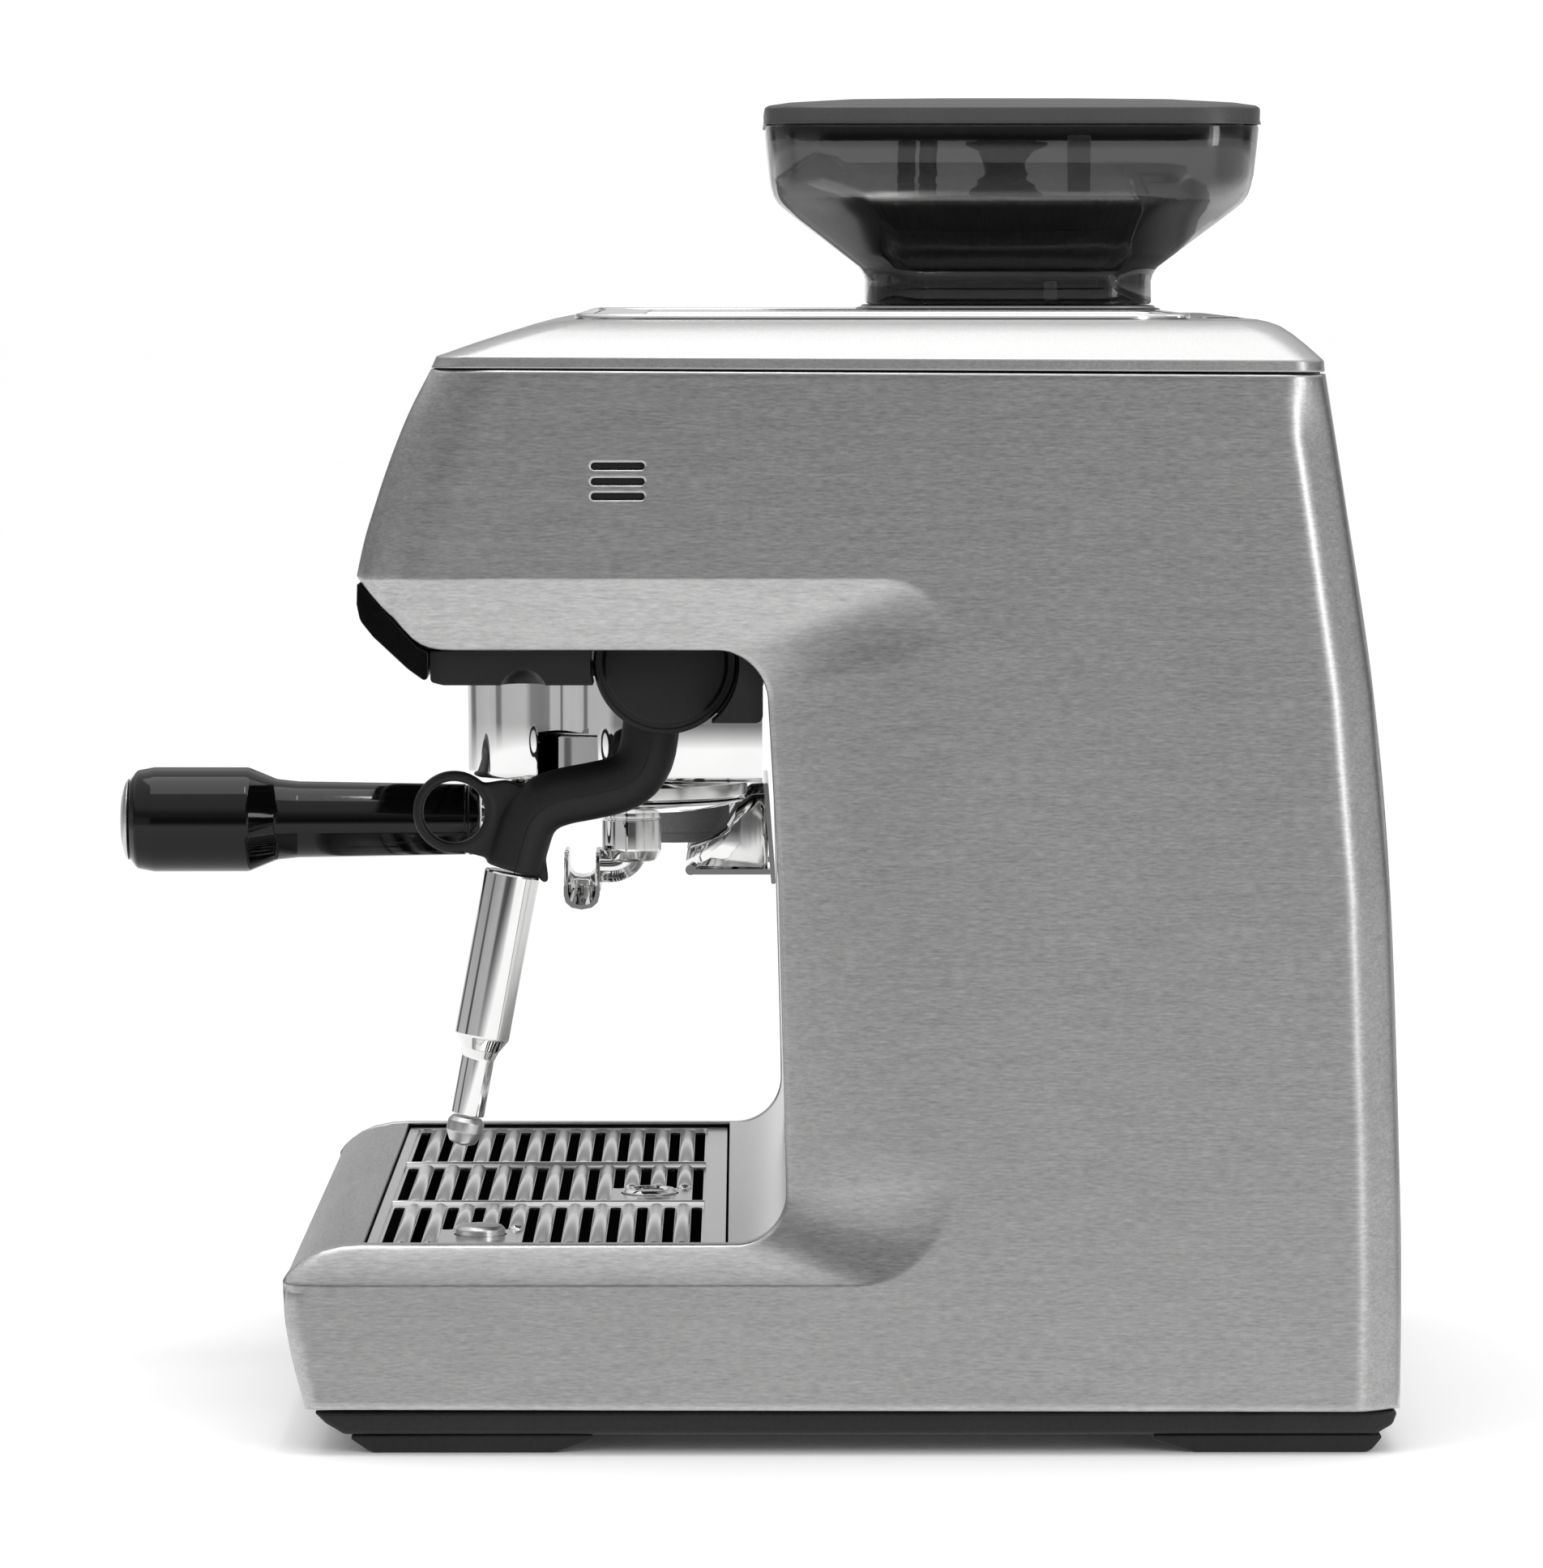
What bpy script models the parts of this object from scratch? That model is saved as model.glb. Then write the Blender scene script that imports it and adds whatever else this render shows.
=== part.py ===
"""Bean-to-cup espresso machine: steel C-shaped housing, grinder and hopper, group head with
portafilter, steam arm, drip tray and water tank. Lengths in the tables are millimetres with
y = 0 at the middle of the housing; everything is moved by DEPTH_SHIFT when it is placed."""
import math

import bpy
from mathutils import Matrix, Vector
from mathutils.geometry import tessellate_polygon

# ---- driving dimensions, millimetres ----
METRES = 0.001
DEPTH_SHIFT = 33.25     # puts the middle of the whole depth, handle included, at y = 0
HALF_WIDTH = 196.0      # outer face of a side panel
FLANGE_IN = 184.0       # inner end of the side panels' folded edges
TUCK = 6.0              # how far a side panel leans inward round the cup bay
SHEET = 1.5
GAP = 0.4
INNER = FLANGE_IN - GAP
GROUP_X = 15.0
GROUP_Y = -74.5
HOPPER_X = -85.0
HOPPER_Y = 63.0
HUB_Y = -59.0
HUB_Z = 262.7
ARM_X = 140.0
TANK_X0 = 16.0
TANK_X1 = 168.0
TANK_Y0 = 122.0
TANK_FLOOR = 76.0
TANK_WALL = 2.5
HANDLE_Z = 199.5
FLOAT_AT = (22.0, -66.0)
SENSOR_AT = (ARM_X, -122.0)
WAND_TILT = math.radians(10.6)
COARSE = 20
FINE = 32

# ---- side outline of the housing, (y, z) ----
BACK_EDGE = ((186.2, 14.5), (186.5, 51.0), (185.8, 92.0), (182.2, 186.0), (176.2, 253.5),
             (166.8, 315.5), (159.8, 359.2))
FRONT_EDGE = ((-136.1, 360.9), (-142.8, 347.9), (-151.4, 326.3), (-158.2, 304.8),
              (-160.9, 292.6))
TRAY_EDGE = ((-159.5, 70.1), (-172.7, 68.4), (-181.5, 63.8), (-186.2, 58.0))
BASE_FRONT = ((-184.6, 40.0), (-178.9, 15.4))
COLUMN_EDGE = ((-24.7, 250.0), (-21.4, 194.0), (-18.7, 92.0))
HEAD_UNDER = ((-159.0, 289.7), (-140.6, 269.9), (-135.0, 268.2), (-128.5, 267.8))
BEND = 12.0             # radius of the folded rear corners
VENT_ROWS = (329.0, 323.9, 319.0)


for leftover in list(bpy.data.objects):
    bpy.data.objects.remove(leftover, do_unlink=True)


def arc(cy, cz, radius, start, end, steps):
    """Points of an arc, degrees, both ends included."""
    out = []
    for i in range(steps + 1):
        a = math.radians(start + (end - start) * i / steps)
        out.append((cy + radius * math.cos(a), cz + radius * math.sin(a)))
    return out


def circle(cx, cy, radius, steps):
    return arc(cx, cy, radius, 0, 360 - 360 / steps, steps - 1)


def rounded_rect(x0, x1, y0, y1, radius, steps=3):
    out = arc(x1 - radius, y1 - radius, radius, 0, 90, steps)
    out += arc(x0 + radius, y1 - radius, radius, 90, 180, steps)
    out += arc(x0 + radius, y0 + radius, radius, 180, 270, steps)
    return out + arc(x1 - radius, y0 + radius, radius, 270, 360, steps)


def signed_area(loop):
    total = 0.0
    for (ax, ay), (bx, by) in zip(loop, loop[1:] + loop[:1]):
        total += ax * by - bx * ay
    return total / 2


def inset(loop, distance):
    """The closed loop moved inward by distance, corners mitred."""
    loop = list(loop)
    side = 1 if signed_area(loop) > 0 else -1
    out = []
    for i, here in enumerate(loop):
        before = Vector(loop[i - 1])
        after = Vector(loop[(i + 1) % len(loop)])
        here = Vector(here)
        d0 = (here - before).normalized()
        d1 = (after - here).normalized()
        n0 = Vector((-d0.y, d0.x)) * side
        n1 = Vector((-d1.y, d1.x)) * side
        mid = (n0 + n1).normalized()
        out.append(tuple(here + mid * (distance / max(mid.dot(n0), 0.4))))
    return out


def strip(path, thickness):
    """Closed outline of a sheet: the path, and the path moved to its left by thickness."""
    side = []
    for i, here in enumerate(path):
        here = Vector(here)
        ahead = Vector(path[min(i + 1, len(path) - 1)])
        behind = Vector(path[max(i - 1, 0)])
        d0 = (here - behind) if i else (ahead - here)
        d1 = (ahead - here) if i < len(path) - 1 else d0
        n0 = Vector((-d0.y, d0.x)).normalized()
        n1 = Vector((-d1.y, d1.x)).normalized()
        mid = (n0 + n1).normalized()
        side.append(tuple(here + mid * (thickness / mid.dot(n0))))
    return list(path) + side[::-1]


# ---- object builders ----
def paint(name, colour, metallic, rough):
    mat = bpy.data.materials.new(name)
    mat.use_nodes = True
    shader = mat.node_tree.nodes["Principled BSDF"]
    shader.inputs["Base Color"].default_value = (*colour, 1.0)
    shader.inputs["Metallic"].default_value = metallic
    shader.inputs["Roughness"].default_value = rough
    mat.diffuse_color = (*colour, 1.0)
    return mat


STEEL = ((0.58, 0.58, 0.57), 1.0, 0.32)
CHROME = ((0.80, 0.80, 0.80), 1.0, 0.06)
SATIN = ((0.66, 0.66, 0.66), 0.6, 0.35)
BLACK = ((0.020, 0.020, 0.021), 0.0, 0.45)
GLOSS = ((0.008, 0.008, 0.008), 0.0, 0.08)
RUBBER = ((0.030, 0.030, 0.030), 0.0, 0.75)
SMOKE = ((0.10, 0.10, 0.105), 0.0, 0.08)
GREY = ((0.10, 0.10, 0.10), 0.1, 0.4)
BRASS = ((0.55, 0.42, 0.20), 1.0, 0.3)
CAST = ((0.42, 0.42, 0.43), 0.9, 0.5)
GREEN = ((0.02, 0.10, 0.05), 0.0, 0.5)


def body(name, verts, faces, look=None, pivot=None, smooth=False):
    """One object from millimetre points; its origin is at pivot. Without a look it's a cutter."""
    origin = Vector(pivot) if pivot else Vector((0, 0, 0))
    points = [(Vector(v) - origin) * METRES for v in verts]
    mesh = bpy.data.meshes.new(name)
    mesh.from_pydata([tuple(p) for p in points], [], [tuple(f) for f in faces])
    mesh.validate()
    volume = 0.0
    mesh.calc_loop_triangles()
    for tri in mesh.loop_triangles:
        a, b, c = (mesh.vertices[i].co for i in tri.vertices)
        volume += a.dot(b.cross(c))
    if volume < 0:
        mesh.flip_normals()
    obj = bpy.data.objects.new(name, mesh)
    shift = Vector((0, DEPTH_SHIFT, 0))
    obj.location = (origin + shift) * METRES
    bpy.context.scene.collection.objects.link(obj)
    if look:
        mesh.materials.append(paint(name, *look))
    else:
        obj.hide_render = True
        obj.display_type = 'WIRE'
    if smooth:
        mesh.polygons.foreach_set("use_smooth", [True] * len(mesh.polygons))
        mesh.set_sharp_from_angle(angle=math.radians(35))
    return obj


def to_world(axis, u, v, w):
    """A point of a section (u, v) at distance w along the axis."""
    return {"x": (w, u, v), "y": (u, w, v), "z": (u, v, w)}[axis]


def prism(name, axis, loop, low, high, look=None, holes=(), **options):
    """A straight extrusion of an outline with holes."""
    loops = [list(loop)] + [list(hole) for hole in holes]
    flat = [Vector((u, v, 0)) for ring in loops for u, v in ring]
    count = len(flat)
    verts = [to_world(axis, p.x, p.y, low) for p in flat]
    verts += [to_world(axis, p.x, p.y, high) for p in flat]
    faces = []
    for a, b, c in triangles(loops, flat, Vector((0, 0, 1))):
        faces.append((a, c, b))
        faces.append((a + count, b + count, c + count))
    start = 0
    for index, ring in enumerate(loops):
        turn = (signed_area(ring) > 0) == (index == 0)
        size = len(ring)
        for i in range(size):
            a = start + i
            b = start + (i + 1) % size
            quad = (a, b, b + count, a + count)
            faces.append(quad if turn else quad[::-1])
        start += size
    return body(name, verts, faces, look, **options)


def box(name, low, high, look=None, **options):
    loop = [(low[0], low[1]), (high[0], low[1]), (high[0], high[1]), (low[0], high[1])]
    return prism(name, "z", loop, low[2], high[2], look, **options)


def loft(name, rings, look=None, closed=False, **options):
    """Skin through rings of equal length, capped at both ends, or joined end to end."""
    size = len(rings[0])
    verts = [p for ring in rings for p in ring]
    faces = []
    for k in range(len(rings) if closed else len(rings) - 1):
        base = k * size
        above = ((k + 1) % len(rings)) * size
        for i in range(size):
            j = (i + 1) % size
            faces.append((base + i, base + j, above + j, above + i))
    if not closed:
        last = (len(rings) - 1) * size
        faces += cap(rings[0], 0, True) + cap(rings[-1], last, False)
    return body(name, verts, faces, look, **options)


def folded(name, outer, inner, look, **options):
    """A shell folded from one sheet: rings from the rim to the face, outside and inside."""
    size = len(outer[0])
    rings = outer[::-1] + inner
    verts = [p for ring in rings for p in ring]
    faces = cap(rings[0], 0, True)
    for k in range(len(rings) - 1):
        base = k * size
        for i in range(size):
            j = (i + 1) % size
            faces.append((base + i, base + j, base + size + j, base + size + i))
    faces += cap(rings[-1], (len(rings) - 1) * size, False)
    return body(name, verts, faces, look, **options)


def triangles(loops, flat, normal):
    """Triangles that fill the loops, all turning the same way about the normal."""
    found = tessellate_polygon([[Vector((*p, 0)[:3]) for p in ring] for ring in loops])
    turn = sum((flat[b] - flat[a]).cross(flat[c] - flat[a]).dot(normal) for a, b, c in found)
    return [(a, b, c) if turn > 0 else (a, c, b) for a, b, c in found]


def cap(ring, start, reverse):
    points = [Vector(p) for p in ring]
    normal = Vector((0, 0, 0))
    for a, b in zip(points, points[1:] + points[:1]):
        normal += a.cross(b)
    if reverse:
        normal.negate()
    return [tuple(start + i for i in tri) for tri in triangles([ring], points, normal)]


def lathe(name, axis, centre, profile, look=None, steps=COARSE, closed=True, **options):
    """Revolve (radius, distance) points about a line through centre along the axis.
    A profile that ends on the line at both ends isn't closed."""
    verts = []
    rows = []
    for radius, along in profile:
        turns = steps if radius > 1e-6 else 1
        rows.append(range(len(verts), len(verts) + turns))
        for i in range(turns):
            a = 2 * math.pi * i / steps
            u = centre[0] + radius * math.cos(a)
            v = centre[1] + radius * math.sin(a)
            verts.append(to_world(axis, u, v, along))
    faces = []
    for k in range(len(rows) if closed else len(rows) - 1):
        low = rows[k]
        high = rows[(k + 1) % len(rows)]
        for i in range(steps):
            j = (i + 1) % steps
            quad = [low[i % len(low)], low[j % len(low)], high[j % len(high)], high[i % len(high)]]
            face = [p for n, p in enumerate(quad) if p not in quad[:n]]
            if len(face) > 2:
                faces.append(face)
    return body(name, verts, faces, look, **options)


def sweep(name, path, radius, look=None, steps=COARSE, flat=1.0, **options):
    """A round rod along a path in a plane of constant x; flat scales its x thickness."""
    points = [Vector(p) for p in path]
    rings = []
    for i, here in enumerate(points):
        along = points[min(i + 1, len(points) - 1)] - points[max(i - 1, 0)]
        along.normalize()
        across = Vector((1, 0, 0))
        other = along.cross(across).normalized()
        ring = []
        for n in range(steps):
            a = 2 * math.pi * n / steps
            offset = across * (math.cos(a) * radius * flat) + other * (math.sin(a) * radius)
            ring.append(tuple(here + offset))
        rings.append(ring)
    return loft(name, rings, look, **options)


def combine(target, other, operation):
    mod = target.modifiers.new(other.name, 'BOOLEAN')
    mod.operation = operation
    mod.solver = 'EXACT'
    mod.object = other
    return target


def cut(target, *others):
    for other in others:
        combine(target, other, 'DIFFERENCE')
    return target


def join(target, *others):
    for other in others:
        combine(target, other, 'UNION')
    return target


# ---- housing ----
def panel_loops():
    """(outline, crease): the side panel's outline, and the same points where the flat begins."""
    upper = arc(-42.2, 250.3, 17.5, 90, 0, 4)[:-1]
    lower = arc(-35.7, 87.1, 17.0, 0, -90, 4)
    edge = list(HEAD_UNDER) + upper + list(COLUMN_EDGE) + lower + list(TRAY_EDGE)
    crease = [(-158.0, 291.0), (-140.6, 291.4), (-135.0, 291.5), (-128.5, 291.5)]
    crease += [(14.0, 291.5), (26.0, 288.8), (34.0, 281.5), (38.0, 272.0)]
    crease += [(38.7, 250.0), (38.7, 194.0), (38.7, 92.0)]
    crease += [(38.7, 87.0), (36.0, 75.0), (28.0, 66.0), (14.0, 59.5), (-12.0, 57.2)]
    crease += [(-159.5, 57.0), (-172.0, 57.2), (-180.0, 57.6), TRAY_EDGE[-1]]
    outline = list(FRONT_EDGE) + edge + list(BASE_FRONT)
    flat = list(FRONT_EDGE) + crease + list(BASE_FRONT)
    return outline, flat, range(len(FRONT_EDGE), len(FRONT_EDGE) + len(edge) - 1)


def blend_loops(first, second, share):
    return [tuple(Vector(a).lerp(Vector(b), share)) for a, b in zip(first, second)]


def bend_back(x):
    """How far the rear edge is pulled forward at this x, on the folded corner."""
    out = max(x - (HALF_WIDTH - BEND), 0.0)
    return BEND - math.sqrt(BEND ** 2 - out ** 2)


def panel_ring(loop, side, x, shrink=0.0, bend_x=None):
    back = bend_back(x if bend_x is None else bend_x)
    full = loop + [(y - back, z) for y, z in BACK_EDGE]
    if shrink:
        full = inset(full, shrink)
    return [(side * x, y, z) for y, z in full]


def side_panel(name, side):
    outline, flat, tucked = panel_loops()
    edge_x = HALF_WIDTH - TUCK
    near_x = HALF_WIDTH - TUCK / 4
    rings = [panel_ring(outline, side, FLANGE_IN), panel_ring(outline, side, edge_x)]
    rings.append(panel_ring(blend_loops(outline, flat, 0.75), side, near_x))
    rings.append(panel_ring(flat, side, HALF_WIDTH))
    edge = panel_ring(outline, side, edge_x - SHEET, SHEET, edge_x)
    inside = panel_ring(flat, side, HALF_WIDTH - SHEET, 0.0, HALF_WIDTH)
    for i in range(len(inside)):
        if i not in tucked:
            inside[i] = (inside[i][0], edge[i][1], edge[i][2])
    for i in range(len(outline), len(inside)):
        inside[i] = (inside[i][0], rings[-1][i][1] - SHEET, edge[i][2])
    inner = [panel_ring(outline, side, FLANGE_IN, SHEET), edge, inside]
    panel = folded(name, rings, inner, STEEL)
    ends = sorted((side * (HALF_WIDTH - 5), side * (HALF_WIDTH + 5)))
    for row, z in enumerate(VENT_ROWS):
        slot = rounded_rect(-82.9, -65.7, z - 0.95, z + 0.95, 0.9, 2)
        cut(panel, prism(f"cut_{name}_{row}", "x", slot, ends[0], ends[1]))
    return panel


def back_y(z):
    """Depth of the housing's back at this height."""
    for (y0, z0), (y1, z1) in zip(BACK_EDGE, BACK_EDGE[1:]):
        if z <= z1:
            return y0 + (y1 - y0) * (z - z0) / (z1 - z0)
    return BACK_EDGE[-1][0]


BAY_TOP = 350.0
BAY_FLOOR = 70.0
BAY_FRONT = 116.0


def housing():
    side_panel("side_panel_right", 1)
    side_panel("side_panel_left", -1)
    back = prism("back_panel", "x", strip(BACK_EDGE, SHEET), -INNER, INNER, STEEL)
    opening = box("cut_back", (TANK_X0 - 3, 100, BAY_FLOOR - 1), (TANK_X1 + 3, 200, 400))
    cut(back, opening)
    cut(back, box("cut_inlet_hole", (-150.4, 170, 29.6), (-119.6, 200, 54.4)))
    inlet = rounded_rect(-150, -120, 30, 54, 4)
    socket = prism("power_inlet", "y", inlet, 150, 186.0, BLACK)
    cut(socket, prism("cut_inlet", "y", rounded_rect(-146, -124, 34, 50, 3), 166, 190))
    shell = [(BAY_FRONT, BAY_FLOOR)]
    shell += [(back_y(z) - 2.2, z) for z in (BAY_FLOOR, 92, 186, 253.5, 315.5, BAY_TOP)]
    shell += [(BAY_FRONT, BAY_TOP)]
    bay = prism("tank_bay", "x", shell, TANK_X0 - 2.6, TANK_X1 + 2.6, BLACK)
    cut(bay, box("cut_bay", (TANK_X0 - 0.6, 118.2, 73), (TANK_X1 + 0.6, 200, 400)))
    belly = [(-176.5, 13.9), (-172.0, 10.0), (-166.0, 6.3), (178.0, 6.3), (183.5, 9.5),
             (185.5, 13.9)]
    prism("base_tray", "x", belly, -190, 190, BLACK)
    for label, y0, y1, lead, trail in (("front", -157, -96, 9, 18), ("rear", 118, 176, 20, 5)):
        foot = [(y0 - lead, 6.0), (y0, 0.0), (y1, 0.0), (y1 + trail, 6.0)]
        for side, x0, x1 in (("right", 128, 188), ("left", -188, -128)):
            prism(f"foot_{label}_{side}", "x", foot, x0, x1, RUBBER)
    path = [(-12.0, 16.2), (113.0, 16.2), (113.0, 354.0)]
    prism("chassis_frame", "x", strip(path, 2.0), -178, 178, CAST)
    column = [(-24.0, 254.8), (-21.0, 194.0), (-18.3, 92.0)]
    column += arc(-35.3, 87.1, 17.0, 0, -90, 5) + [(-38.0, 70.1)]
    prism("splash_panel", "x", strip(column[::-1], -SHEET), -INNER, INNER, CHROME, smooth=True)


# ---- top ----
COVER_TOP = 377.2


def cover_ring(x, y0, y1, z_front, z_rear, radius):
    loop = rounded_rect(-x, x, y0, y1, radius, 3)
    return [(u, v, z_front + (z_rear - z_front) * (v - y0) / (y1 - y0)) for u, v in loop]


def top():
    outer = [cover_ring(195.5, -135.8, 159.4, 361.4, 359.7, 11),
             cover_ring(195.5, -134.0, 158.9, 366.0, 364.0, 11),
             cover_ring(192.0, -129.0, 156.4, 368.6, 367.4, 12),
             cover_ring(177.0, -93.4, 142.0, 376.6, 376.6, 14),
             cover_ring(174.5, -89.0, 138.0, COVER_TOP, COVER_TOP, 14)]
    inner = [cover_ring(192.5, -132.4, 156.4, 361.4, 359.7, 9),
             cover_ring(189.5, -126.0, 154.0, 366.5, 365.4, 10),
             cover_ring(172.0, -86.0, 136.0, 374.4, 374.4, 12)]
    cover = folded("top_cover", outer, inner, SATIN)
    hole = circle(HOPPER_X, HOPPER_Y, 46, FINE)
    cut(cover, prism("cut_throat", "z", hole, 360, 390))
    notch = (TANK_X0 - 0.4, TANK_Y0 - 1.4, 340), (TANK_X1 + 0.4, 200, 400)
    cut(cover, box("cut_lid_notch", *notch))
    plate = [(-168, -75), (-165, -81), (-159, -84), (159, -84), (165, -81), (168, -75),
             (168, 116), (-28, 116), (-28, 14), (-34, 8), (-136, 8), (-142, 14), (-142, 116),
             (-168, 116)]
    prism("cup_warming_tray", "z", plate, COVER_TOP + 0.3, COVER_TOP + 1.5, CHROME)
    rail = [(-170, 112), (-170, -76), (-167, -83), (-160, -86), (160, -86), (167, -83),
            (170, -76), (170, 112), (173, 112), (173, -77), (169, -85.5), (161, -89),
            (-161, -89), (-169, -85.5), (-173, -77), (-173, 112)]
    prism("cup_rail", "z", rail, COVER_TOP + 0.3, COVER_TOP + 3.6, CHROME)


# ---- head ----
FASCIA_LOW = (-159.4, 300.0)
FASCIA_SLOPE = Vector((0.0, 17.4, 50.0)).normalized()
FASCIA_OUT = Vector((0.0, -50.0, 17.4)).normalized()
SCREEN_MID = Vector((0.0, -151.6, 325.0))
BUTTON_MID = Vector((-112.0, -151.9, 325.0))


def slab(name, half_x, half_up, out0, out1, look=None):
    """A plate parallel to the fascia, between two distances from its face."""
    rings = []
    for out in (out0, out1):
        mid = SCREEN_MID + FASCIA_OUT * out
        ring = [mid + Vector((sx * half_x, 0, 0)) + FASCIA_SLOPE * (su * half_up)
                for sx, su in ((-1, -1), (1, -1), (1, 1), (-1, 1))]
        rings.append([tuple(p) for p in ring])
    return loft(name, rings, look)


def disc_out(name, mid, profile, look=None, pivot=None):
    """A turned piece whose axis is square to the fascia; profile is (radius, distance out)."""
    rings = []
    across = Vector((1, 0, 0))
    for radius, out in profile:
        ring = []
        for i in range(COARSE):
            a = 2 * math.pi * i / COARSE
            offset = across * math.cos(a) + FASCIA_SLOPE * math.sin(a)
            ring.append(tuple(mid + FASCIA_OUT * out + offset * radius))
        rings.append(ring)
    return loft(name, rings, look, pivot=pivot, smooth=True)


def head():
    fascia = prism("front_panel", "x", strip(FRONT_EDGE, SHEET), -INNER, INNER, STEEL)
    cut(fascia, slab("cut_screen", 62.9, 35.0, -14, 14))
    cut(fascia, disc_out("cut_button", BUTTON_MID, [(6.6, -12), (6.6, 12)]))
    slab("screen_glass", 62.4, 34.5, -2.2, 1.0, GLOSS)
    slab("screen_module", 54.0, 28.0, -11.0, -2.6, BLACK)
    cap_profile = [(6.1, -6.0), (6.1, 1.6), (5.4, 2.2)]
    disc_out("power_button", BUTTON_MID, cap_profile, CHROME, pivot=tuple(BUTTON_MID))
    box("control_board", (-95, -119.5, 284), (95, -117.9, 350), GREEN)
    wedge = [(-160.6, 290.7), (-160.8, 283.2), (-159.8, 277.8), (-155.5, 272.4), (-150.1, 267.0),
             (-143.9, 261.6), (-137.2, 257.2), (-137.2, 267.2), (-141.0, 269.1),
             (-159.5, 289.2)]
    prism("front_bezel", "x", wedge, -189.3, 189.3, GLOSS)
    corner = arc(-42.2, 250.3, 18.1, 88, 20, 4)
    pan = [(-136.8, 267.2), (-136.8, 257.1), (-132.5, 256.0), (-26.2, 256.0)]
    pan += corner[::-1]
    tub = prism("head_underside", "x", pan, -160, 160, BLACK)
    low = [(-57.5, 257.0), (-57.5, 246.0), (-54.5, 243.4), (-44.0, 243.4)]
    low += arc(-44.0, 225.6, 17.8, 88, 0, 4) + [(-26.4, 257.0)]
    join(tub, prism("add_low", "x", low, 62, 160))
    cut(tub, box("cut_pan", (-157.5, -134.3, 258.6), (157.5, -44.0, 300)))
    cut(tub, box("cut_hub_slot", (125, -90, 200), (157.0, -34.5, 300)))
    cut(tub, box("cut_hub_side", (156.0, -81, 243), (170, -37, 300)))
    cut(tub, box("cut_neck", (-40, -134, 250), (70, -24, 300)))


# ---- group head and portafilter ----
def shroud_outline(grow):
    nose = arc(0.0, -103.5, 26.0 + grow, -165, -15, 10)
    right = [(26.0 + grow, -103.0), (29.5 + grow, -97.5), (36.0 + grow, -91.0)]
    right += [(40.0 + grow, -82.0), (41.0 + grow, -72.0), (41.0 + grow, -26.2)]
    left = [(-x, y) for x, y in right[::-1]]
    return [(GROUP_X + x, y) for x, y in nose + right + left]


def group():
    loops = ((-2.4, 215.0), (-0.6, 216.0), (0.0, 218.0), (0.5, 255.4))
    rings = [[(x, y, z) for x, y in shroud_outline(grow)] for grow, z in loops]
    shroud = loft("group_shroud", rings, CHROME, smooth=True)
    pocket = [(0, 200), (40.2, 200), (40.2, 232.0), (34.3, 233.0), (34.3, 244.2),
              (16.5, 244.2), (16.5, 270), (0, 270)]
    axis = (GROUP_X, GROUP_Y)
    cut(shroud, lathe("cut_pocket", "z", axis, pocket, None, FINE, False))
    ring = [(35.2, 208.0), (42.4, 208.0), (43.0, 208.8), (43.0, 214.0), (42.4, 214.7),
            (35.2, 214.7)]
    lathe("group_collar", "z", axis, ring, CHROME, FINE, smooth=True)
    head_profile = [(0, 232.0), (26.0, 232.0), (26.0, 239.6), (33.8, 239.6), (33.8, 243.8),
                    (16.0, 243.8), (16.0, 262.0), (0, 262.0)]
    lathe("group_head", "z", axis, head_profile, BRASS, COARSE, False)
    gasket = [(26.5, 232.4), (33.6, 232.4), (33.6, 239.2), (26.5, 239.2)]
    lathe("group_gasket", "z", axis, gasket, RUBBER)
    screen = [(0, 228.6), (4.0, 228.6), (4.4, 229.6), (25.5, 229.6), (25.5, 231.6), (0, 231.6)]
    lathe("shower_screen", "z", axis, screen, STEEL, COARSE, False)
    lathe("coffee_boiler", "z", axis, [(0, 262.4), (30, 262.4), (32, 265), (32, 318),
                                       (28, 322), (0, 322)], CAST, COARSE, False)
    portafilter(axis)


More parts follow.
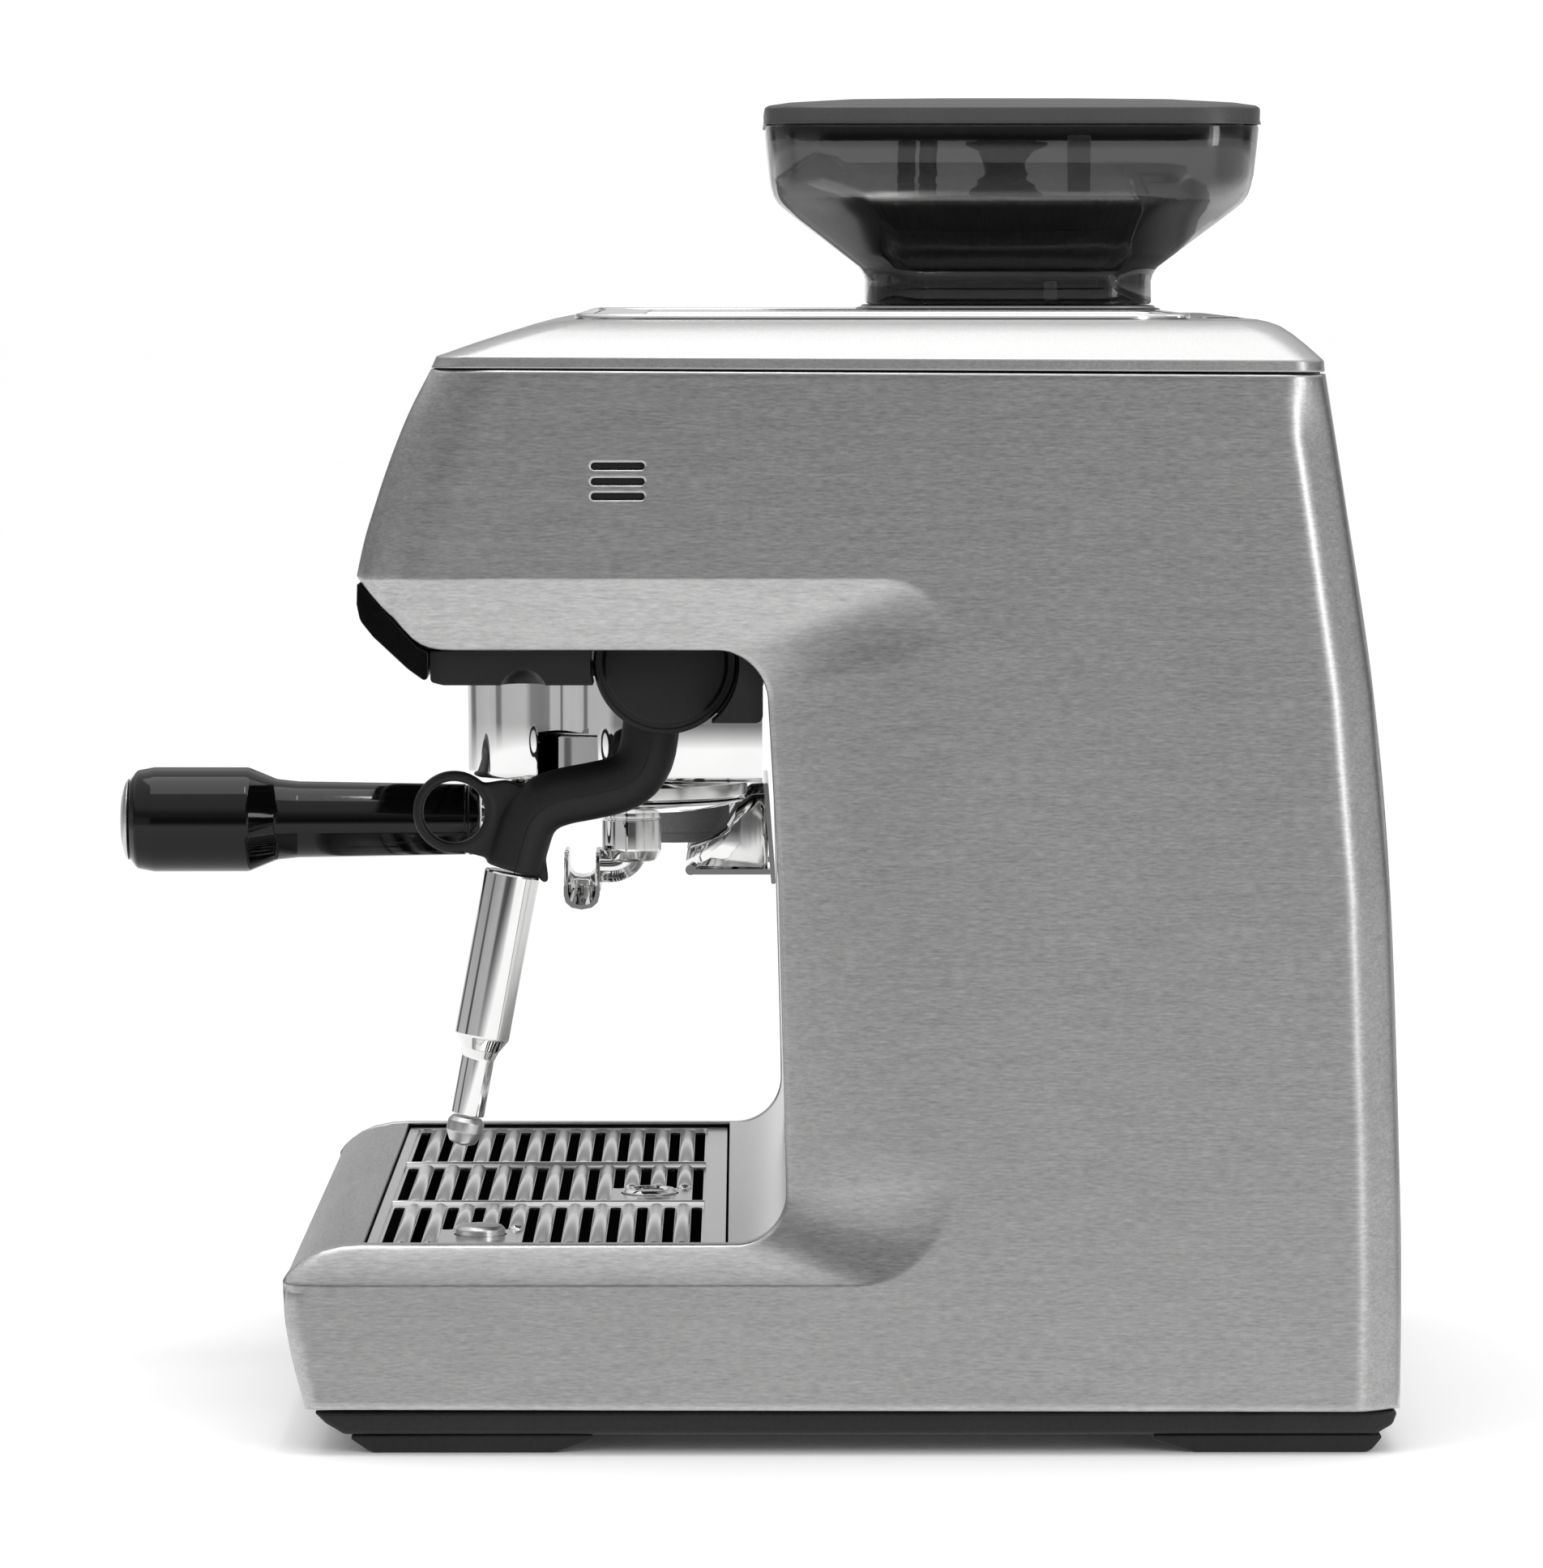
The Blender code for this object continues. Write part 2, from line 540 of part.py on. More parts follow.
def portafilter(axis):
    pivot = (GROUP_X, GROUP_Y, HANDLE_Z)
    bowl = [(0, 203.8), (31.6, 203.8), (42.0, 206.6), (42.3, 207.4), (34.6, 207.7), (34.6, 230.8),
            (30.6, 230.8), (30.6, 206.2), (0, 206.2)]
    cup = lathe("portafilter_body", "z", axis, bowl, CHROME, FINE, False, pivot=pivot,
                smooth=True)
    for label, start in (("near", -14), ("far", 166)):
        lug = [(GROUP_X + r * math.cos(math.radians(a)), GROUP_Y + r * math.sin(math.radians(a)))
               for r, a in ((33.8, start), (38.8, start), (38.8, start + 28), (33.8, start + 28))]
        join(cup, prism(f"add_lug_{label}", "z", lug, 218.5, 223.0))
    neck = [((GROUP_X, -99.0, 201.6), 3.6), ((GROUP_X, -112.0, 200.8), 5.4),
            ((GROUP_X, -118.0, 199.9), 7.2), ((GROUP_X, -125.2, HANDLE_Z), 8.6)]
    rings = []
    for (x, y, z), radius in neck:
        turn = [2 * math.pi * i / 16 for i in range(16)]
        rings.append([(x + radius * math.cos(a), y, z + radius * math.sin(a)) for a in turn])
    join(cup, loft("add_neck", rings))
    basket = [(0, 206.6), (26.0, 206.6), (28.6, 208.4), (30.2, 230.9), (33.2, 231.1),
              (33.2, 231.9), (29.4, 231.9), (27.8, 209.0), (25.6, 207.6), (0, 207.6)]
    lathe("filter_basket", "z", axis, basket, STEEL, COARSE, False, pivot=pivot, smooth=True)
    grip = [(0, -249.4), (15.0, -249.4), (17.8, -246.5), (18.5, -243.0), (18.4, -207.0),
            (17.8, -203.8), (14.2, -196.6), (13.4, -192.0), (12.4, -130.4), (11.8, -130.0),
            (12.3, -129.6), (12.1, -125.6), (0, -125.6)]
    lathe("portafilter_handle", "y", (GROUP_X, HANDLE_Z), grip, GLOSS, COARSE + 4, False,
          pivot=pivot, smooth=True)
    end = [(0, -253.0), (8.0, -252.4), (12.5, -251.2), (14.8, -249.8), (0, -249.8)]
    lathe("handle_cap", "y", (GROUP_X, HANDLE_Z), end, STEEL, COARSE, False, pivot=pivot,
          smooth=True)
    spout(pivot)


def gutter(x, floor, top_z, y):
    """A U-shaped section across the spout's trough."""
    outer = [(-6.3, top_z), (-6.3, floor + 3.5), (-4.6, floor - 0.2), (0.0, floor - 1.5),
             (4.6, floor - 0.2), (6.3, floor + 3.5), (6.3, top_z)]
    inner = [(4.8, top_z), (4.8, floor + 4.2), (3.4, floor + 1.2), (0.0, floor),
             (-3.4, floor + 1.2), (-4.8, floor + 4.2), (-4.8, top_z)]
    return [(GROUP_X + x, y + v, z) for v, z in outer + inner]


def spout(pivot):
    y = -89.6
    spread = ((-25.0, 171.3, 178.0), (-21.5, 175.5, 184.5), (-15.0, 178.6, 188.6),
              (0.0, 179.6, 189.2), (15.0, 178.6, 188.6), (21.5, 175.5, 184.5),
              (25.0, 171.3, 178.0))
    rings = [gutter(x, floor, top_z, y) for x, floor, top_z in spread]
    trough = loft("portafilter_spout", rings, CHROME, pivot=pivot, smooth=True)
    stem_y = -72.4
    bend = [(GROUP_X, stem_y, z) for z in (203.4, 190.5)]
    bend += [(GROUP_X, y, z) for y, z in arc(-79.6, 190.5, 7.2, 0, -90, 4)[1:]]
    bend += [(GROUP_X, -84.6, 183.3)]
    rod = sweep("add_elbow", bend, 6.0, None, 16)
    stem = [(0, 203.4), (9.6, 203.4), (10.5, 202.6), (10.5, 200.2), (10.0, 199.8), (10.5, 199.4),
            (10.5, 188.6), (8.6, 184.6), (0, 184.0)]
    join(trough, rod, lathe("add_stem", "z", (GROUP_X, stem_y), stem, None, COARSE, False))


# ---- steam arm ----
ARM_PATH = ((-61.0, 256.0), (-63.4, 245.0), (-64.5, 236.0), (-66.0, 229.0), (-69.6, 223.4),
            (-75.0, 220.2), (-84.2, 218.0), (-93.5, 216.2), (-100.3, 213.6), (-104.8, 209.2),
            (-107.2, 203.4), (-110.6, 191.2))
RING_Y = -130.6
RING_Z = 211.0


def steam():
    pivot = (ARM_X, HUB_Y, HUB_Z)
    hub = (HUB_Y, HUB_Z)
    lip = [(0, 157.6), (9.0, 157.6), (9.0, 160.6), (23.0, 160.6), (24.0, 161.6), (24.0, 166.4),
           (23.2, 167.2), (0, 167.6)]
    lathe("steam_hub_disc", "x", hub, lip, BLACK, FINE, False, pivot=pivot, smooth=True)
    path = [(ARM_X, y, z) for y, z in ARM_PATH]
    arm = sweep("steam_arm", path, 9.7, BLACK, 16, 0.95, pivot=pivot, smooth=True)
    root = [(0, 128.5), (18.5, 128.5), (18.5, 155.4), (0, 155.4)]
    ring = [(13.8, 136.4), (13.8, 143.6), (12.8, 144.4), (10.8, 144.4), (10.4, 143.4),
            (10.4, 136.6), (10.8, 135.6), (12.8, 135.6)]
    web = arc(RING_Y, RING_Z, 12.2, 50, -100, 8)
    web += [(-119.5, 195.4), (-108.0, 198.0), (-103.0, 212.0), (-106.0, 219.6), (-113.0, 221.8)]
    tab = [(-104.0, 195.0), (-99.6, 195.0), (-98.6, 187.2), (-100.6, 186.9), (-104.0, 191.5)]
    join(arm, lathe("add_root", "x", hub, root, None, FINE, False),
         lathe("add_ring", "x", (RING_Y, RING_Z), ring, None, 24),
         prism("add_web", "x", web, 137.2, 142.8),
         prism("add_tab", "x", tab, 137.5, 142.5))
    wand = [(0, 0.6), (8.5, 0.6), (8.5, 58.0), (6.2, 62.5), (5.6, 64.0), (5.6, 84.6), (0, 84.6)]
    tip = [(0, 85.0), (5.0, 85.0), (6.2, 86.6), (6.2, 90.0), (4.6, 93.6), (0, 95.0)]
    for name, profile, look in (("steam_tube", wand, CHROME), ("steam_tip", tip, STEEL)):
        points = [(r, 191.0 - along) for r, along in profile]
        piece = lathe(name, "z", (ARM_X, -110.8), points, look, COARSE, False, smooth=True)
        lean_back(piece, (ARM_X, -110.8, 191.0), pivot)


def lean_back(obj, root, pivot):
    """Tilts a piece turned about a vertical line, then moves its origin to the pivot."""
    centre = Vector(root) * METRES
    turn = Matrix.Rotation(-WAND_TILT, 4, 'X')
    obj.data.transform(Matrix.Translation(centre) @ turn @ Matrix.Translation(-centre))
    origin = Vector(pivot) * METRES
    obj.data.transform(Matrix.Translation(-origin))
    obj.location = origin + Vector((0, DEPTH_SHIFT * METRES, 0))


# ---- hopper and grinder ----
def square_ring(half, radius, z):
    loop = rounded_rect(HOPPER_X - half, HOPPER_X + half, HOPPER_Y - half, HOPPER_Y + half,
                        radius, 5)
    return [(x, y, z) for x, y in loop]


def square_body(name, rows, look, closed=True, pivot=None):
    rings = [square_ring(half, radius, z) for half, radius, z in rows]
    return loft(name, rings, look, closed=closed, pivot=pivot, smooth=True)


def hopper():
    axis = (HOPPER_X, HOPPER_Y)
    pivot = (HOPPER_X, HOPPER_Y, 380.0)
    collar = [(54.0, 20, COVER_TOP + 0.3), (54.5, 20, 378.2), (54.0, 20, 379.6), (52.5, 19, 380.2),
              (45.0, 44.9, 380.2), (45.0, 44.9, COVER_TOP + 0.3)]
    square_body("hopper_collar", collar, SATIN)
    outer = [(50.4, 17, 380.7), (51.2, 18, 381.6), (51.1, 18, 389.6), (52.8, 18, 393.4),
             (60.0, 20, 399.3), (75.6, 24, 411.2), (82.4, 26, 417.0), (85.0, 27, 420.4),
             (86.2, 27, 426.0), (88.0, 27, 444.6)]
    inner = [(85.6, 25, 444.6), (83.8, 25, 426.4), (82.4, 24, 421.2), (79.6, 23, 418.2),
             (30.0, 18, 394.0), (24.0, 23.9, 390.0), (24.0, 23.9, 380.7)]
    square_body("hopper_body", outer + inner, SMOKE, pivot=pivot)
    lid = [(88.7, 27, 445.0), (88.7, 27, 450.2), (87.6, 26, 451.6), (82.0, 25, 453.0),
           (50.0, 20, 454.7), (0.6, 0.55, 455.2)]
    under = [(0.6, 0.55, 447.8), (80.0, 22, 447.8), (80.0, 22, 441.0), (82.6, 23, 441.0),
             (82.6, 23, 447.2), (87.0, 26, 447.2), (87.0, 26, 445.0)]
    square_body("hopper_lid", lid + under, GREY, pivot=(HOPPER_X, HOPPER_Y, 445.0))
    knob = [(0, 384.0), (12.0, 384.0), (12.0, 396.0), (7.0, 402.0), (7.0, 414.0), (13.0, 420.0),
            (26.0, 425.0), (26.0, 428.0), (8.0, 432.0), (0, 432.6)]
    lathe("hopper_lock_knob", "z", axis, knob, BLACK, COARSE, False, pivot=pivot, smooth=True)
    grinder(axis)


def grinder(axis):
    pivot = (HOPPER_X, HOPPER_Y, 330.0)
    case = [(8.0, 300.0), (38.0, 300.0), (40.0, 302.0), (40.0, 374.0), (32.0, 374.0),
            (32.0, 306.0), (8.0, 306.0)]
    lathe("grinder_housing", "z", axis, case, BLACK)
    burr = [(27.0, 322.0), (31.6, 322.0), (31.6, 348.0), (17.0, 348.0)]
    lathe("upper_burr", "z", axis, burr, STEEL)
    cone = [(0, 286.0), (5.0, 286.0), (5.0, 320.0), (25.5, 320.0), (12.0, 347.0), (4.0, 352.0),
            (0, 352.0)]
    lathe("lower_burr", "z", axis, cone, STEEL, COARSE, False, pivot=pivot)
    gearbox = [(5.4, 262.0), (42.0, 262.0), (42.0, 299.6), (5.4, 299.6)]
    lathe("grinder_gearbox", "z", axis, gearbox, CAST)
    motor = [(0, 150.0), (32.0, 150.0), (35.0, 153.0), (35.0, 258.0), (32.0, 261.6), (0, 261.6)]
    lathe("grinder_motor", "z", axis, motor, CAST, COARSE, False)
    chute = [(HOPPER_X, 19.0, 317.0), (HOPPER_X, 5.0, 312.0), (HOPPER_X, -30.0, 293.0),
             (HOPPER_X, -51.0, 280.0)]
    pipe = sweep("grind_chute", chute, 11.0, BLACK, 16)
    longer = [(HOPPER_X, 24.0, 316.7)] + chute[1:-1] + [(HOPPER_X, -57.0, 276.3)]
    cut(pipe, sweep("cut_chute", longer, 8.5, None, 16))
    outlet = [(17.0, 185.2), (19.6, 185.2), (20.0, 186.2), (20.0, 254.0), (24.0, 254.4),
              (24.0, 255.4), (17.0, 255.4)]
    spot = (HOPPER_X, -58.0)
    lathe("grind_outlet", "z", spot, outlet, GREY, FINE, smooth=True)


def cradle():
    """Fork that holds the portafilter under the grind outlet: a folded plate and two prongs."""
    x0 = HOPPER_X - 36
    x1 = HOPPER_X + 36
    face = [(-24.6, 208.0), (-21.6, 171.5), (-19.9, 171.4), (-22.9, 208.1)]
    plate = [(y - 1.2, z) for y, z in face]
    fork = prism("cradle_bracket", "x", plate, x0, x1, CHROME, smooth=True)
    prong = [(-24.0, 203.0), (-31.5, 202.0), (-35.5, 199.0), (-40.0, 192.0), (-46.0, 188.0),
             (-52.6, 184.6), (-53.8, 180.0), (-52.8, 176.8), (-50.0, 175.0), (-24.0, 174.6)]
    for label, at in (("near", x1 - 4.5), ("far", x0 + 1.5)):
        join(fork, prism(f"add_prong_{label}", "x", prong, at, at + 3.0))
    for label, a, b in (("near", x1 - 11, x1 - 2), ("far", x0 + 2, x0 + 11)):
        join(fork, box(f"add_ledge_{label}", (a, -51.5, 174.7), (b, -23.0, 176.7)))
    return fork


# ---- tray ----
def grille_slots():
    """Rows of round-ended slots, with room for the float and the milk sensor."""
    out = []
    for row in range(3):
        x0 = -174.0 + row * 118.0 + 3.0
        x1 = x0 + 108.0
        for k in range(12):
            y = -152.5 + k * 9.4
            ends = (x0, x1)
            if row == 1 and abs(y - FLOAT_AT[1]) < 13:
                ends = (x0, FLOAT_AT[0] - 13)
            if row == 2 and abs(y - SENSOR_AT[1]) < 12:
                ends = (x0, SENSOR_AT[0] - 12)
            out.append(slot_loop(ends[0], ends[1], y))
    return out


def slot_loop(x0, x1, y):
    half = 1.9
    return [(x0, y), (x0 + half, y - half), (x1 - half, y - half), (x1, y),
            (x1 - half, y + half), (x0 + half, y + half)]


def tray():
    sides = [(-176.0, 17.0), (-42.0, 17.0), (-40.0, 20.0), (-40.0, 66.0), (-160.6, 66.0),
             (-166.0, 65.6), (-177.4, 56.0), (-180.6, 40.0)]
    tub = prism("drip_tray", "x", sides, -182, 182, BLACK)
    well = [(-157.5, 20.0), (-43.0, 20.0), (-43.0, 80.0), (-157.5, 80.0)]
    cut(tub, prism("cut_well", "x", well, -179.5, 179.5))
    face = [(-178.6, 15.6), (-184.4, 40.0), (-186.0, 58.0), (-181.3, 63.6), (-172.7, 68.0),
            (-160.0, 69.5)]
    prism("drip_tray_front", "x", strip(face, -SHEET), -INNER, INNER, STEEL)
    holes = grille_slots()
    holes.append(circle(FLOAT_AT[0], FLOAT_AT[1], 10.2, 16))
    holes.append(circle(SENSOR_AT[0], SENSOR_AT[1], 9.0, 16))
    plate = rounded_rect(-182.0, 182.0, -159.0, -38.9, 2, 1)
    prism("drip_grille", "z", plate, 66.5, 68.3, CHROME, holes)
    buoy = [(0, 24.0), (8.0, 24.0), (8.0, 46.0), (3.0, 47.0), (3.0, 64.0), (9.6, 65.5),
            (9.6, 67.6), (8.0, 69.0), (0, 69.6)]
    lathe("tray_float", "z", FLOAT_AT, buoy, CHROME, COARSE, False, smooth=True,
          pivot=(*FLOAT_AT, 24.0))
    sensor = [(0, 58.0), (5.0, 58.0), (5.0, 64.0), (8.4, 64.4), (8.4, 69.6), (7.0, 70.8), (0, 71.0)]
    lathe("milk_temp_sensor", "z", SENSOR_AT, sensor, STEEL, COARSE, False, smooth=True,
          pivot=(*SENSOR_AT, 64.0))


# ---- water ----
def water():
    levels = (TANK_FLOOR, 92.0, 186.0, 253.5, 315.5, 352.0)
    wall = [(TANK_Y0, levels[0])] + [(back_y(z) - 0.4, z) for z in levels]
    wall += [(TANK_Y0, levels[-1])]
    slide = ((TANK_X0 + TANK_X1) / 2, TANK_Y0, TANK_FLOOR)
    tank = prism("water_tank", "x", wall, TANK_X0, TANK_X1, SMOKE, pivot=slide)
    low = TANK_FLOOR + 3.0
    room = [(TANK_Y0 + TANK_WALL, low), (back_y(low) - 3.2, low)]
    room += [(back_y(z) - 3.2, z) for z in levels[1:-1]]
    room += [(back_y(354) - 3.2, 370.0), (TANK_Y0 + TANK_WALL, 370.0)]
    cut(tank, prism("cut_tank", "x", room, TANK_X0 + TANK_WALL, TANK_X1 - TANK_WALL))
    hinge = (slide[0], TANK_Y0 - 0.6, 376.6)
    flap = [(TANK_Y0 - 0.9, 352.5), (159.6, 352.5), (159.2, 359.8), (158.8, 364.0),
            (156.2, 367.2), (142.0, 376.6), (138.0, COVER_TOP), (TANK_Y0 - 0.9, COVER_TOP)]
    lid = prism("water_tank_lid", "x", flap, TANK_X0 + 0.2, TANK_X1 - 0.2, SATIN, pivot=hinge)
    cut(lid, box("cut_lid_under", (TANK_X0 + 4, TANK_Y0 + 2, 340), (TANK_X1 - 4, 154.0, 362)))
    cut(lid, box("cut_lid_recess", (slide[0] - 36, 123.4, 371.6), (slide[0] + 36, 139.0, 390)))
    grip_axis = (slide[0], 126.4, 374.4)
    x0 = slide[0] - 34
    x1 = slide[0] + 34
    bail = [(x0, 124.7), (x0 + 5, 124.7), (x0 + 5, 132.6), (x1 - 5, 132.6), (x1 - 5, 124.7),
            (x1, 124.7), (x1, 137.6), (x0, 137.6)]
    prism("tank_handle", "z", bail, 372.5, 376.4, BLACK, pivot=grip_axis)
    lathe("steam_boiler", "z", (62.0, 42.0), [(0, 196), (28, 196), (31, 200), (31, 300),
                                              (28, 304), (0, 304)], CAST, COARSE, False)
    lathe("water_pump", "z", (66.0, 40.0), [(0, 30), (22, 30), (22, 118), (12, 120),
                                            (12, 150), (0, 150)], BLACK, COARSE, False)
    box("solenoid_valve", (0, -22, 272), (34, 12, 306), CAST)


housing()
top()
head()
group()
steam()
hopper()
cradle()
tray()
water()
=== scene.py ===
"""Looks of the espresso machine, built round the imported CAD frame. Lengths in the tables are
millimetres with y = 0 at the middle of the housing, as in the CAD source."""
from math import atan2, cos, pi, radians, sin, sqrt, tan

import bmesh
import bpy
import numpy as np
from mathutils import Matrix, Vector
from mathutils.geometry import delaunay_2d_cdt, tessellate_polygon

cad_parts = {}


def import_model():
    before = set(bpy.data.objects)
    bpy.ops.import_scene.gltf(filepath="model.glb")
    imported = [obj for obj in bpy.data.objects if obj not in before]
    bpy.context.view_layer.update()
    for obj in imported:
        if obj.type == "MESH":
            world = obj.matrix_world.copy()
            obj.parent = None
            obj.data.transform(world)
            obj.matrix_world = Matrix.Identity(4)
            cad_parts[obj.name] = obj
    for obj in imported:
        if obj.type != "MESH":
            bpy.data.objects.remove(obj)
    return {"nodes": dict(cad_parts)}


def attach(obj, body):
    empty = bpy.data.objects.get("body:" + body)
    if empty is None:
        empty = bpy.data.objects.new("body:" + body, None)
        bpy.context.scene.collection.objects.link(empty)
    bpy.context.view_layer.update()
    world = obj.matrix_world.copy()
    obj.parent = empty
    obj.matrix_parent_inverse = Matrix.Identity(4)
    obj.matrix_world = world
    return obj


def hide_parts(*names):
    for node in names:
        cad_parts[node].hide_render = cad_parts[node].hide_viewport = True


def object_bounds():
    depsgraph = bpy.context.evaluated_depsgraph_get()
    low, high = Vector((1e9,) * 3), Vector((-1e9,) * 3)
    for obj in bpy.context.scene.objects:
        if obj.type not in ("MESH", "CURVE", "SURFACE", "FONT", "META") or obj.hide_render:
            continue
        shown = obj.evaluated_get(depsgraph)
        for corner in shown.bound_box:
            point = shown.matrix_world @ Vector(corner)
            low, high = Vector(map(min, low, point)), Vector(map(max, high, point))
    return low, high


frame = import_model()
cad_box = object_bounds()
MM = 0.001
HANDLE_TIP = -253
SHIFT = cad_box[0][1] / MM - HANDLE_TIP
INNER = 183.7
SHEET = 1.5
WALL = 1.3
HOPPER = (-85, 63)
HANDLE_AXIS = (15, 199.5)


# ---------------------------------------------------------------- node helpers
class Nodes:
    """A short way to write a material's nodes."""

    def __init__(self, name):
        self.mat = bpy.data.materials.new(name)
        self.mat.use_nodes = True
        self.tree = self.mat.node_tree
        self.bsdf = self.tree.nodes["Principled BSDF"]

    def add(self, kind, **settings):
        node = self.tree.nodes.new(kind)
        for key, value in settings.items():
            setattr(node, key, value)
        return node

    def link(self, a, b):
        self.tree.links.new(a, b)

    def set(self, **values):
        for key, value in values.items():
            self.bsdf.inputs[key.replace("_", " ")].default_value = value

    def coords(self, scale=(1, 1, 1)):
        source = self.add("ShaderNodeTexCoord")
        mapping = self.add("ShaderNodeMapping")
        mapping.inputs["Scale"].default_value = scale
        self.link(source.outputs["Object"], mapping.inputs["Vector"])
        return mapping.outputs["Vector"]

    def noise(self, vector, scale, detail=3, rough=0.55):
        node = self.add("ShaderNodeTexNoise")
        node.inputs["Scale"].default_value = scale
        node.inputs["Detail"].default_value = detail
        node.inputs["Roughness"].default_value = rough
        self.link(vector, node.inputs["Vector"])
        return node.outputs["Fac"]

    def voronoi(self, vector, scale):
        node = self.add("ShaderNodeTexVoronoi")
        node.inputs["Scale"].default_value = scale
        self.link(vector, node.inputs["Vector"])
        return node.outputs["Color"]

    def span(self, value, low, high, start=0, end=1):
        node = self.add("ShaderNodeMapRange")
        for key, number in (("From Min", low), ("From Max", high), ("To Min", start),
                            ("To Max", end)):
            node.inputs[key].default_value = number
        self.link(value, node.inputs["Value"])
        return node.outputs["Result"]

    def math(self, op, a, b):
        node = self.add("ShaderNodeMath", operation=op)
        for slot, value in zip(node.inputs, (a, b)):
            if isinstance(value, (int, float)):
                slot.default_value = value
            else:
                self.link(value, slot)
        return node.outputs[0]

    def blend(self, factor, dark, light):
        node = self.add("ShaderNodeMix", data_type="RGBA")
        node.inputs["A"].default_value = (*dark, 1)
        node.inputs["B"].default_value = (*light, 1)
        self.link(factor, node.inputs["Factor"])
        return node.outputs["Result"]

    def bump(self, height, strength, distance):
        node = self.add("ShaderNodeBump")
        node.inputs["Strength"].default_value = strength
        node.inputs["Distance"].default_value = distance
        self.link(height, node.inputs["Height"])
        self.link(node.outputs["Normal"], self.bsdf.inputs["Normal"])


def grey(v):
    return (v, v, v * 0.995)


def brushed(name, tone, rough, along="y", grain=1):
    """Brushed sheet steel: fine hairlines along one axis, over a cloudy change of tone."""
    n = Nodes(name)
    fine = {"x": (150, 1150, 1150), "y": (1500, 230, 1500), "z": (1150, 1150, 150)}[along]
    long = {"x": (40, 560, 560), "y": (560, 40, 560), "z": (560, 560, 40)}[along]
    hair = n.noise(n.coords(fine), 1, 4, 0.7)
    streak = n.noise(n.coords(long), 1, 3, 0.6)
    cloud = n.noise(n.coords(), 9, 2)
    both = n.math("ADD", n.math("MULTIPLY", hair, 0.75), n.math("MULTIPLY", streak, 0.25))
    tint = n.math("ADD", n.math("MULTIPLY", both, 0.9), n.math("MULTIPLY", cloud, 0.1))
    low = tone * (1 - 0.26 * grain)
    high = tone * (1 + 0.26 * grain)
    n.link(n.blend(n.span(tint, 0.32, 0.68), grey(low), grey(high)), n.bsdf.inputs["Base Color"])
    n.link(n.span(both, 0.25, 0.75, rough - 0.02, rough + 0.04), n.bsdf.inputs["Roughness"])
    n.set(Metallic=1, Anisotropic=0.35)
    n.bump(both, 0.10 * grain, 0.00008)
    return n.mat


def polished(name, tone, rough, smear=0.02):
    """Chrome or polished steel with faint wipe marks and a trace of waviness."""
    n = Nodes(name)
    wipe = n.noise(n.coords((60, 60, 60)), 1, 4, 0.6)
    wave = n.noise(n.coords(), 28, 1)
    n.link(n.blend(n.span(wipe, 0.3, 0.7), grey(tone * 0.95), grey(tone)),
           n.bsdf.inputs["Base Color"])
    n.link(n.span(wipe, 0.35, 0.75, rough, rough + smear), n.bsdf.inputs["Roughness"])
    n.set(Metallic=1)
    n.bump(wave, 0.03, 0.0003)
    return n.mat


def sparkle(name, tone, rough):
    """Silver-painted plastic: metal flake under a satin lacquer."""
    n = Nodes(name)
    shine = n.span(n.voronoi(n.coords(), 2600), 0, 1)
    soft = n.noise(n.coords(), 40, 2)
    mix = n.math("ADD", n.math("MULTIPLY", shine, 0.75), n.math("MULTIPLY", soft, 0.25))
    n.link(n.blend(mix, grey(tone * 0.86), grey(tone * 1.1)), n.bsdf.inputs["Base Color"])
    n.link(n.span(mix, 0.2, 0.8, rough - 0.05, rough + 0.06), n.bsdf.inputs["Roughness"])
    n.set(Metallic=0.92, Coat_Weight=0.1, Coat_Roughness=0.25)
    n.bump(shine, 0.06, 0.00004)
    return n.mat


def plastic(name, colour, rough, texture=0.5, scale=1400, coat=0, light=1.5, spec=0.5):
    """Moulded plastic: fine spark-eroded texture with slow changes of sheen."""
    n = Nodes(name)
    fine = n.noise(n.coords(), scale, 2, 0.6)
    slow = n.noise(n.coords(), 22, 3)
    mix = n.math("ADD", n.math("MULTIPLY", fine, 0.5), n.math("MULTIPLY", slow, 0.5))
    dark = tuple(c * 0.8 for c in colour)
    pale = tuple(c * light for c in colour)
    n.link(n.blend(n.span(mix, 0.35, 0.65), dark, pale), n.bsdf.inputs["Base Color"])
    n.link(n.span(mix, 0.35, 0.65, rough - 0.04, rough + 0.06), n.bsdf.inputs["Roughness"])
    n.set(Specular_IOR_Level=spec)
    if coat:
        n.set(Coat_Weight=coat, Coat_Roughness=0.04)
    n.bump(fine, texture * 0.3, 0.00008)
    return n.mat


def smoked(name, tint, rough=0.03, clear=1, edge=0.12):
    """Smoke-tinted clear plastic with faint handling marks."""
    n = Nodes(name)
    marks = n.noise(n.coords(), 90, 4, 0.65)
    rim = n.add("ShaderNodeLayerWeight")
    grazing = n.span(rim.outputs["Facing"], 0.50, 0.88)
    depth = n.math("ADD", grazing, n.math("MULTIPLY", marks, 0.05))
    n.link(n.blend(depth, grey(tint), grey(tint * edge)), n.bsdf.inputs["Base Color"])
    n.link(n.span(marks, 0.4, 0.8, rough, rough + 0.05), n.bsdf.inputs["Roughness"])
    n.set(IOR=1.47, Transmission_Weight=clear)
    n.bump(n.noise(n.coords(), 35, 2), 0.04, 0.0004)
    return n.mat


